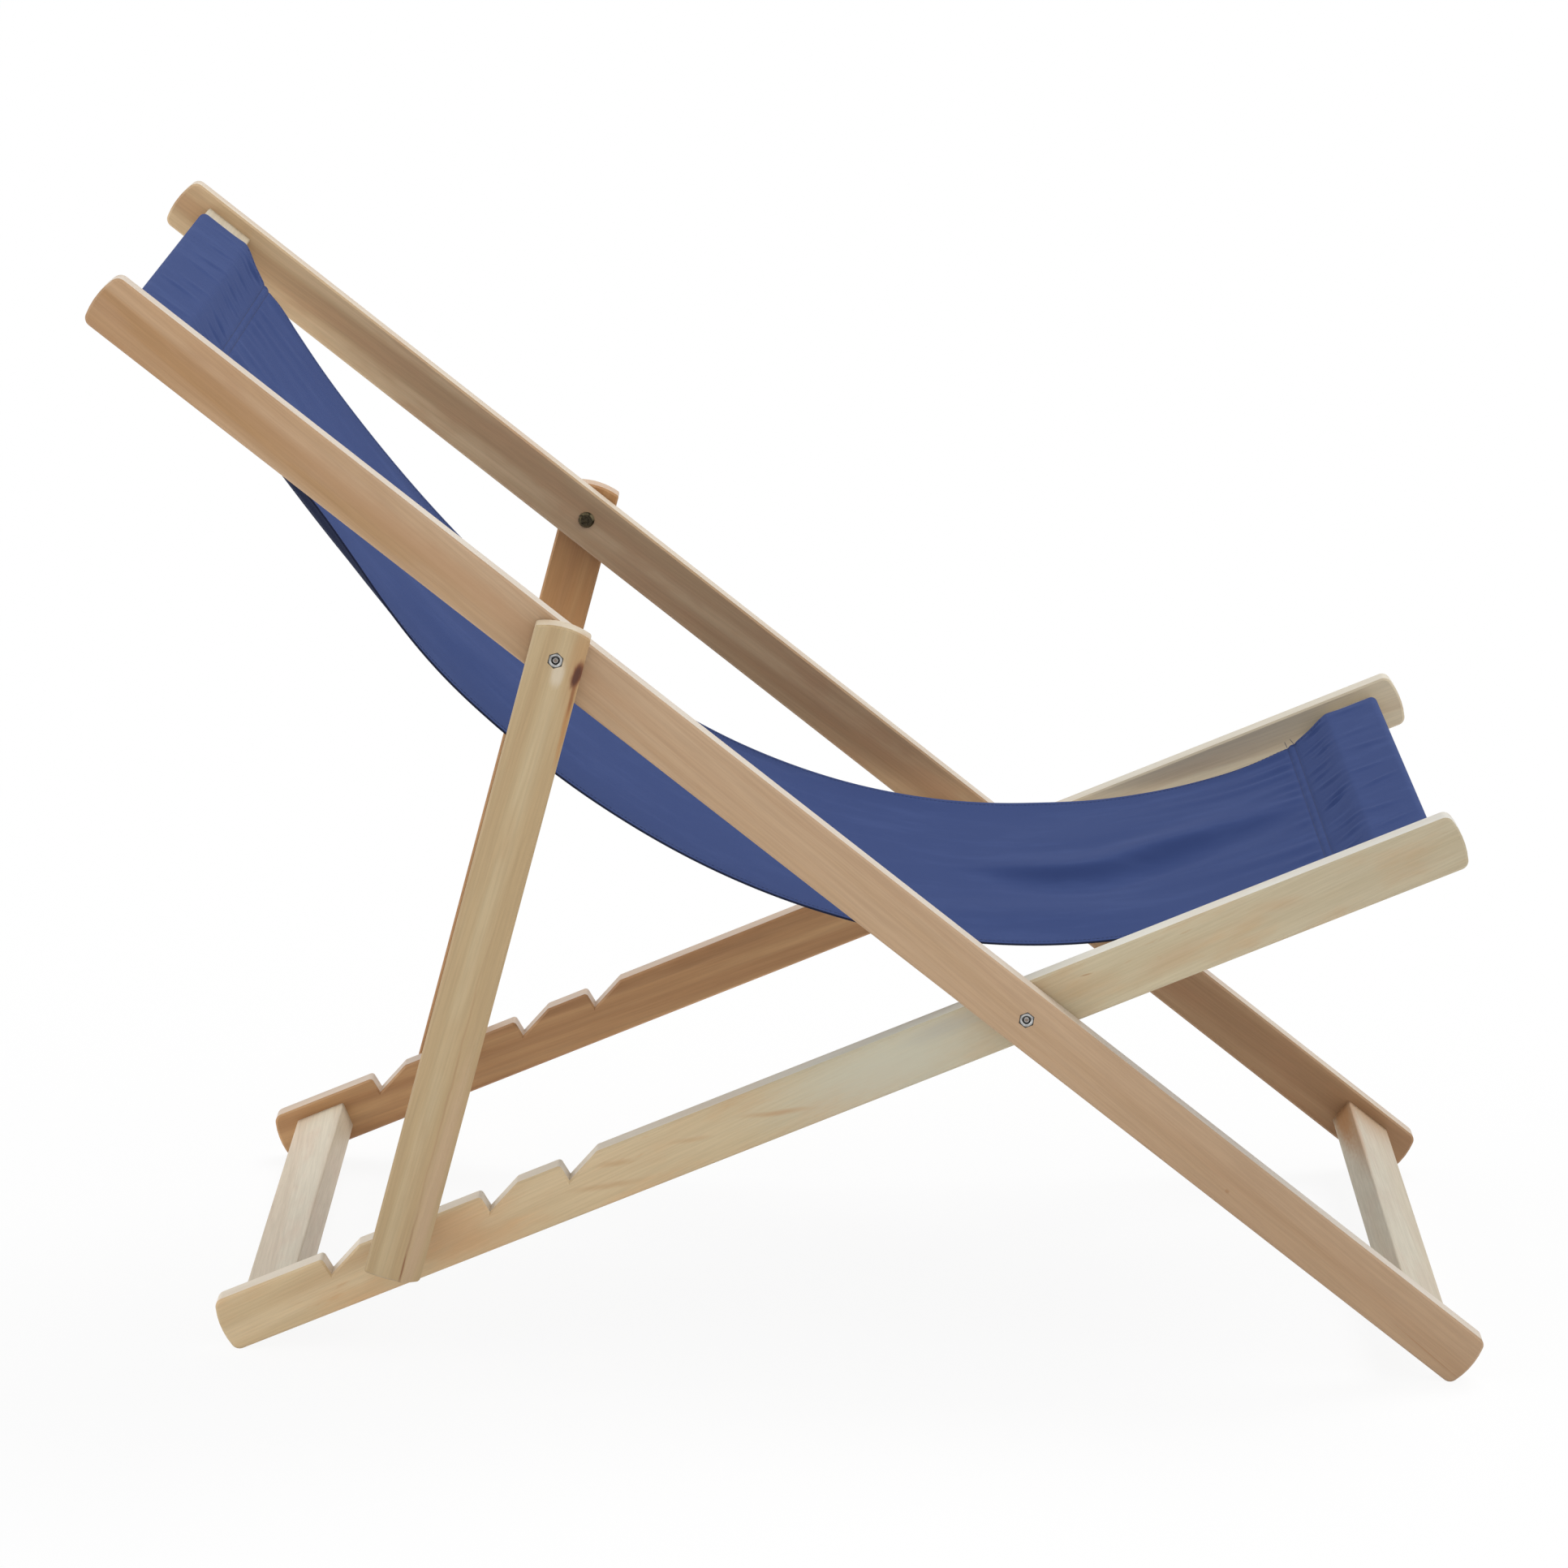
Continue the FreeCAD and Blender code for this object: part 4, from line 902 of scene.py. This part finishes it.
class FaceRidge:
    """Short ridge of loose cloth on the flat face of a bar."""

    def __init__(self, place):
        self.place = place
        self.lean = draw.uniform(-0.35, 0.35)
        self.middle = draw.uniform(-62, -50) * MM
        self.half_length = draw.uniform(9, 15) * MM
        self.width = draw.uniform(3.5, 6.0) * MM
        self.height = draw.uniform(0.6, 1.7) * MM

    def rise(self, across, past_seam):
        """Height of the ridge at a place."""
        along = (past_seam - self.middle) / self.half_length
        share = (across - self.place - self.lean * (past_seam - self.middle)) / self.width
        if abs(along) > 2.5 or abs(share) > 3:
            return 0.0
        return self.height * math.exp(-along * along - share * share)


def along_seam(kind, count, *settings):
    """Puckers or ridges along a seam at uneven places."""
    pitch = CLOTH_WIDTH / count
    return [kind((i + 0.5) * pitch - CLOTH_WIDTH / 2 + draw.uniform(-0.3, 0.3) * pitch, *settings)
            for i in range(count)]


class Fold:
    """Soft fold along the sling: a crest, steep towards the chair's right and gentle towards its left."""

    def __init__(self, steep, gentle, hollow, *crest):
        self.places = LINE.values(crest, 1)
        self.heights = LINE.values(crest, 2)
        self.steep = steep * MM
        self.gentle = gentle * MM
        self.hollow = hollow

    def rise(self, row, across):
        """Height of the fold at a row and a place across it, with a hollow beside its steep side."""
        offset = across - self.places[row]
        ridge = offset / (self.steep if offset < 0 else self.gentle)
        hollow = (offset + 3 * self.steep) / (2.2 * self.steep)
        return self.heights[row] * (math.exp(-ridge * ridge) - self.hollow * math.exp(-hollow * hollow))


class EdgeWave:
    """Rise or droop of one side edge of the sling, over a strip of some width."""

    def __init__(self, side, strip, *lift):
        self.side = side
        self.strip = strip * MM
        self.lifts = LINE.values(lift)

    def rise(self, row, across):
        """Height at a row and a place across it."""
        inset = CLOTH_WIDTH / 2 - self.side * across
        return self.lifts[row] * max(0.0, 1 - inset / self.strip) ** 2


TOP_PUCKERS = along_seam(Pucker, 13, 0.35)
FRONT_PUCKERS = along_seam(Pucker, 13, 0.1)
TOP_RIDGES = along_seam(FaceRidge, 7)
FRONT_RIDGES = along_seam(FaceRidge, 7)
# Crests as length past the top seam, place across (the chair's left is positive) and height, in millimetres
FOLDS = (
    Fold(13, 55, 0.5, (735, 10, 0), (765, 2, 5), (806, -12, 8.5), (840, -14, 9.5), (858, -2, 10.5),
         (877, 10, 11), (913, 26, 9.5), (948, 36, 6.5), (985, 30, 3), (1012, 28, 0)),
    Fold(30, 60, 0.0, (750, 100, 0), (800, 92, 2.5), (850, 98, 3), (900, 125, 2.5), (950, 135, 0)),
    Fold(38, 42, 0.0, (690, -150, 0), (733, -142, 3.5), (790, -142, 5), (848, -152, 3.5), (905, -160, 0)),
    Fold(45, 60, 0.2, (200, -98, 0), (266, -105, 3.5), (310, -108, 4.5), (353, -112, 3.5), (440, -120, 0)),
)
# Lifts as length past the top seam and height, in millimetres
EDGE_WAVES = (
    EdgeWave(-1, 19, (45, 0), (75, 6), (100, 9.5), (125, 10), (150, 9), (180, 6.5), (205, 3.5), (230, 1),
             (260, 0)),
    EdgeWave(-1, 110, (230, 0), (290, -2.4), (420, -2.7), (500, -1.8), (620, 0)),
    EdgeWave(1, 70, (0, 0), (14, 1.5), (40, 1.1), (85, 0), (540, 0.5), (640, 1.5), (700, 2.5), (800, 3.8),
             (850, 1.8), (880, 1), (910, -0.6), (964, -2.6), (990, -1.8), (1010, 0)),
)
SMALL_FOLDS = 0.7 * MM
SMALL_FOLDS_SCALE = (9.0, 2.6)
SMALL_FOLDS_PLACE = 3.7
SMALL_FOLDS_START = 30 * MM
SMALL_FOLDS_FULL = 200 * MM
GROOVE_DEPTH = 0.8 * MM
GROOVE_WIDTH = 1.3 * MM
SEWN_BAND_RISE = 0.5 * MM
SEWN_BAND_WIDTH = 2.2 * MM


def sewn_band(past_seam):
    """Rise of the cloth between the two stitch rows of a seam, and its grooves under them."""
    rise = SEWN_BAND_RISE * math.exp(-(past_seam / SEWN_BAND_WIDTH) ** 2)
    for row in (-STITCH_ROW_GAP / 2, STITCH_ROW_GAP / 2):
        rise -= GROOVE_DEPTH * math.exp(-((past_seam - row) / GROOVE_WIDTH) ** 2)
    return rise


def hem_room(row, across):
    """Room that the under layer of a seam leaves at the sides, for both turned edges."""
    start, end = LINE.lap_ends
    past_lap = max(0.0, min(LINE.lengths[row] - start, end - LINE.lengths[row]))
    inset = CLOTH_WIDTH / 2 - abs(across)
    near_side = 1 - smooth_step(inset, HEM_WIDTH, HEM_WIDTH + HEM_EASE)
    return 2 * LAYER_STEP * near_side * (1 - smooth_step(past_lap, 0, LAP_EASE))


def cloth_rise(row, across):
    """How far the cloth stands off its mid-line at a row of the grid and a place across it."""
    if row in LINE.laps:
        return hem_room(row, across) - cloth_rise(LINE.laps[row], across)
    past_top = LINE.past_top[row]
    past_front = LINE.past_front[row]
    ends = ((past_top, row >= LINE.first - POCKET_ROWS, TOP_PUCKERS, TOP_RIDGES),
            (past_front, row <= LINE.last + POCKET_ROWS, FRONT_PUCKERS, FRONT_RIDGES))
    on_upper = LINE.first <= row <= LINE.last
    rise = 0.0 if on_upper else hem_room(row, across)
    for corner in (LINE.first, LINE.last):
        share = (LINE.lengths[row] - LINE.lengths[corner]) / CORNER_SPREAD
        rise += CORNER_LIFT * math.exp(-share * share)
    for past_seam, upper_side, ridges, face_ridges in ends:
        if upper_side and -POCKET_REACH < past_seam < PUCKER_REACH:
            rise += sum(r.rise(across, past_seam) for r in ridges)
            rise += sewn_band(past_seam)
            if not on_upper:
                rise = max(0.0, rise) + sum(r.rise(across, past_seam) for r in face_ridges)
    if on_upper:
        inward = smooth_step(min(past_top, past_front), SMALL_FOLDS_START, SMALL_FOLDS_FULL)
        wide, long = SMALL_FOLDS_SCALE
        small = noise.noise(Vector((across * wide, LINE.lengths[row] * long, SMALL_FOLDS_PLACE)))
        rise += SMALL_FOLDS * small * (0.25 + 0.75 * inward)
        rise += sum(form.rise(row, across) for form in FOLDS + EDGE_WAVES)
    return rise


def cross_section():
    """Places across the cloth and its folded hems, each with its depth, and the lengths over the cut."""
    half = CLOTH_WIDTH / 2
    count = 2 * round(half / COLUMN_STEP)
    flat = [(-half + i * 2 * half / count, 0.0) for i in range(count + 1)]
    turn = [math.radians(angle) for angle in (30, 60, 90, 120, 150, 180)]
    right = [(half + LAYER_STEP / 2 * math.sin(a), LAYER_STEP / 2 * (1 - math.cos(a))) for a in turn]
    right += [(half - HEM_WIDTH * i / HEM_STEPS, LAYER_STEP) for i in range(1, HEM_STEPS + 1)]
    left = [(-across, depth) for across, depth in reversed(right)]
    section = left + flat + right
    lengths = [0.0]
    for a, b in zip(section, section[1:]):
        lengths.append(lengths[-1] + math.dist(a, b))
    return section, lengths


def cloth_point(row, across, depth=0.0):
    """Point of the cloth in the chair."""
    half = CLOTH_WIDTH / 2
    inner = max(-half, min(half, across))
    rise = cloth_rise(row, inner) - depth
    return LINE.points[row] + LINE.normals[row] * rise + CROSS_WAY * (across + SIDE_SHIFTS[row])


def make_sling():
    """Sheet of canvas with sewn pockets, folded side hems, puckers and soft folds."""
    section, widths = cross_section()
    rows = len(LINE.points)
    columns = len(section)
    bpy.ops.mesh.primitive_grid_add(x_subdivisions=columns - 1, y_subdivisions=rows - 1, size=1)
    sling = bpy.context.object
    sling.name = "sling_cloth"
    mesh = sling.data
    mesh.uv_layers[0].name = "cut"
    order = sorted(mesh.vertices, key=lambda v: (round(v.co.y, 6), v.co.x))
    cut = {}
    for number, vertex in enumerate(order):
        row, column = divmod(number, columns)
        across, depth = section[column]
        vertex.co = cloth_point(row, across, depth)
        cut[vertex.index] = (widths[column] / widths[-1], LINE.lengths[row] / LINE.length)
    for loop in mesh.loops:
        mesh.uv_layers["cut"].data[loop.index].uv = cut[loop.vertex_index]
    thicken = sling.modifiers.new("cloth", "SOLIDIFY")
    thicken.thickness = CLOTH_THICKNESS
    thicken.offset = 0.0
    # The generated side gets the navy upper face; the first side and the cut edges get the underside's
    # painted shade, which also draws dark lines along the cloth's edges
    thicken.material_offset = 1
    mesh.materials.append(canvas("shaded_underside_canvas", LINE.length, UNDERSIDE_SHADE_DARK, UNDERSIDE_SHADE, UNDERSIDE_SHADE_WORN))
    mesh.materials.append(canvas("navy_canvas", LINE.length, NAVY_DARK, NAVY, NAVY_WORN))
    bpy.ops.object.modifier_apply(modifier=thicken.name)
    bpy.ops.object.shade_smooth()
    return sling


def stitch_shape():
    """One stitch: a short rounded thread that dips at both ends."""
    bpy.ops.mesh.primitive_uv_sphere_add(segments=6, ring_count=4, radius=0.5)
    stitch = bpy.context.object
    bpy.ops.object.mode_set(mode="EDIT")
    bpy.ops.mesh.select_all(action="SELECT")
    bpy.ops.transform.rotate(value=math.pi / 2, orient_axis="Y", center_override=(0, 0, 0))
    bpy.ops.transform.resize(value=(STITCH_LENGTH, STITCH_WIDTH, STITCH_HEIGHT))
    bpy.ops.object.mode_set(mode="OBJECT")
    corners = [v.co.copy() for v in stitch.data.vertices]
    # Sorted, because Blender lists a new sphere's faces in another order each run.
    faces = sorted(tuple(p.vertices) for p in stitch.data.polygons)
    bpy.data.objects.remove(stitch)
    return corners, faces


STITCH = stitch_shape()


def sew(name, places, material):
    """One piece with a stitch at each place, given as point, way along the row and normal."""
    corners, faces = STITCH
    points = []
    all_faces = []
    for point, way, normal in places:
        side = normal.cross(way).normalized()
        turn = Matrix((way, side, normal)).transposed()
        first = len(points)
        points += [point + turn @ c for c in corners]
        all_faces += [tuple(first + i for i in face) for face in faces]
    mesh = bpy.data.meshes.new(name)
    mesh.from_pydata(points, [], all_faces)
    mesh.shade_smooth()
    mesh.materials.append(material)
    piece = bpy.data.objects.new(name, mesh)
    bpy.context.scene.collection.objects.link(piece)
    return piece


def seam_rows(seam_row, toward):
    """Rows of the cloth's grid that lie under the two stitch rows of a seam."""
    seam = LINE.lengths[seam_row]
    return [LINE.row_near(seam + toward * side * STITCH_ROW_GAP / 2) for side in (-1, 1)]


def seam_stitch(row, across, face):
    """Place of one seam stitch on the upper face (1) or below the under layer (-1)."""
    depth = -CLOTH_THICKNESS / 2 - STITCH_LIFT
    if face < 0:
        depth = LAYER_STEP + hem_room(0, across) + CLOTH_THICKNESS / 2 + STITCH_LIFT
    here = cloth_point(row, across, depth)
    way = (cloth_point(row, across + 1 * MM, depth) - cloth_point(row, across - 1 * MM, depth)).normalized()
    normal = LINE.normals[row] * face
    normal = (normal - way * normal.dot(way)).normalized()
    return here, way, normal


def seam_places(seam_row, toward):
    """Stitches of the two rows of a seam, on the upper face and below the under layer."""
    count = int((CLOTH_WIDTH - 2 * SEAM_END_MARGIN) / STITCH_PITCH)
    places = []
    for row in seam_rows(seam_row, toward):
        for i in range(count):
            across = (i + 0.5 - count / 2) * STITCH_PITCH
            places += [seam_stitch(row, across, face) for face in (1, -1)]
    return places


def hem_places():
    """Stitches along both side hems, on the upper face from bar to bar."""
    lengths = LINE.lengths
    depth = -CLOTH_THICKNESS / 2 - STITCH_LIFT
    places = []
    for side in (-1, 1):
        across = side * (CLOTH_WIDTH / 2 - HEM_STITCH_INSET)
        row = LINE.first
        target = lengths[row]
        while target < lengths[LINE.last]:
            while lengths[row + 1] < target:
                row += 1
            share = (target - lengths[row]) / (lengths[row + 1] - lengths[row])
            a = cloth_point(row, across, depth)
            b = cloth_point(row + 1, across, depth)
            way = (b - a).normalized()
            normal = LINE.normals[row].lerp(LINE.normals[row + 1], share)
            normal = (normal - way * normal.dot(way)).normalized()
            places.append((a.lerp(b, share), way, normal))
            target += STITCH_PITCH
    return places


def loose_threads(name, places, material):
    """Cut thread ends that stand up at the ends of stitch rows, given as point, way and normal."""
    threads = []
    for number, (point, way, normal) in enumerate(places):
        bpy.ops.curve.primitive_bezier_curve_add()
        thread = bpy.context.object
        first, last = thread.data.splines[0].bezier_points
        for knot, shape in ((first, THREAD_ROOT), (last, ((2.5 + number, 6), *THREAD_TIP))):
            points = [point + (way * along + normal * up) * MM for along, up in shape]
            knot.co, knot.handle_left, knot.handle_right = points
        thread.data.bevel_depth = THREAD_RADIUS
        thread.data.bevel_resolution = 1
        thread.data.resolution_u = 6
        thread.data.use_fill_caps = True
        bpy.ops.object.convert(target="MESH")
        threads.append(bpy.context.object)
    for thread in threads:
        thread.select_set(True)
    bpy.ops.object.join()
    piece = bpy.context.object
    piece.name = name
    piece.data.materials.clear()
    piece.data.materials.append(material)
    return piece


def dress_sling():
    """Cloth sling and its stitches; the seams' stitches and thread ends go with the back frame or the seat
    frame.
    """
    sling = make_sling()
    thread = sewing_thread()
    top_seam = sew("top_seam_stitches", seam_places(LINE.top_seam, 1), thread)
    front_seam = sew("front_seam_stitches", seam_places(LINE.front_seam, -1), thread)
    hems = sew("side_hem_stitches", hem_places(), thread)
    row_end = CLOTH_WIDTH / 2 - SEAM_END_MARGIN
    row_ends = [seam_stitch(row, row_end, 1) for row in seam_rows(LINE.front_seam, -1)]
    thread_ends = loose_threads("front_seam_thread_ends", row_ends, thread)
    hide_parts("sling")
    for piece in (sling, hems):
        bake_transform(piece)
    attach(top_seam, "back_frame")
    for piece in (front_seam, thread_ends):
        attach(piece, "seat_frame")


# Stage

def seen_rays(net):
    """1 for the rays that show the background: camera, glossy and transmission rays."""
    path = net.add("LightPath").outputs
    seen = net.math("MAXIMUM", path["Is Camera Ray"], path["Is Glossy Ray"])
    return net.math("MAXIMUM", seen, path["Is Transmission Ray"])


def make_floor():
    """Wide pale floor that keeps a faint shadow."""
    bpy.ops.mesh.primitive_plane_add(size=FLOOR_SIZE, location=(0, 0, -FLOOR_DROP))
    floor = bpy.context.object
    floor.name = "floor"
    material, net, shader = new_material("pale_floor")
    net.fill(shader, {"Base Color": FLOOR_PALE, "Roughness": 0.9, "Specular IOR Level": 0.0})
    white = net.add("Emission", {"Color": WHITE, "Strength": BACKGROUND_WHITE}).outputs["Emission"]
    share = net.times(seen_rays(net), FLOOR_WHITE_SHARE)
    mixed = net.add("MixShader", {0: share, 1: shader.outputs["BSDF"], 2: white})
    output = next(n for n in net.tree.nodes if n.type == "OUTPUT_MATERIAL")
    net.fill(output, {"Surface": mixed.outputs[0]})
    floor.data.materials.append(material)


def make_light():
    """White sky and soft lamps."""
    world = bpy.data.worlds.new("studio")
    bpy.context.scene.world = world
    world.use_nodes = True
    net = Net(world.node_tree)
    strength = net.math("MULTIPLY_ADD", seen_rays(net), BACKGROUND_WHITE - SKY_LIGHT, SKY_LIGHT)
    sky = net.add("Background", {"Color": WHITE, "Strength": strength})
    net.add("OutputWorld", {"Surface": sky.outputs["Background"]})
    for name, (power, width, direction) in LAMPS.items():
        lamp = bpy.data.lights.new(name, "SUN")
        lamp.energy = power
        lamp.angle = math.radians(width)
        item = bpy.data.objects.new(name, lamp)
        item.rotation_mode = "QUATERNION"
        item.rotation_quaternion = (-Vector(direction)).to_track_quat("-Z", "Y")
        bpy.context.scene.collection.objects.link(item)


def make_camera():
    """Camera at the photograph's place."""
    camera = bpy.data.cameras.new("camera")
    camera.lens = CAMERA_LENS
    camera.sensor_width = SENSOR
    camera.clip_end = CLIP_END
    item = bpy.data.objects.new("camera", camera)
    look = (CAMERA_AIM - CAMERA_PLACE).to_track_quat("-Z", "Y").to_matrix()
    turn = look @ Matrix.Rotation(CAMERA_ROLL, 3, "Z")
    item.matrix_world = Matrix.Translation(CAMERA_PLACE) @ turn.to_4x4()
    bpy.context.scene.collection.objects.link(item)
    bpy.context.scene.camera = item


make_camera()
make_light()
make_floor()
finish_wood()
finish_metal()
dress_sling()
bpy.context.scene.view_settings.view_transform = "Standard"
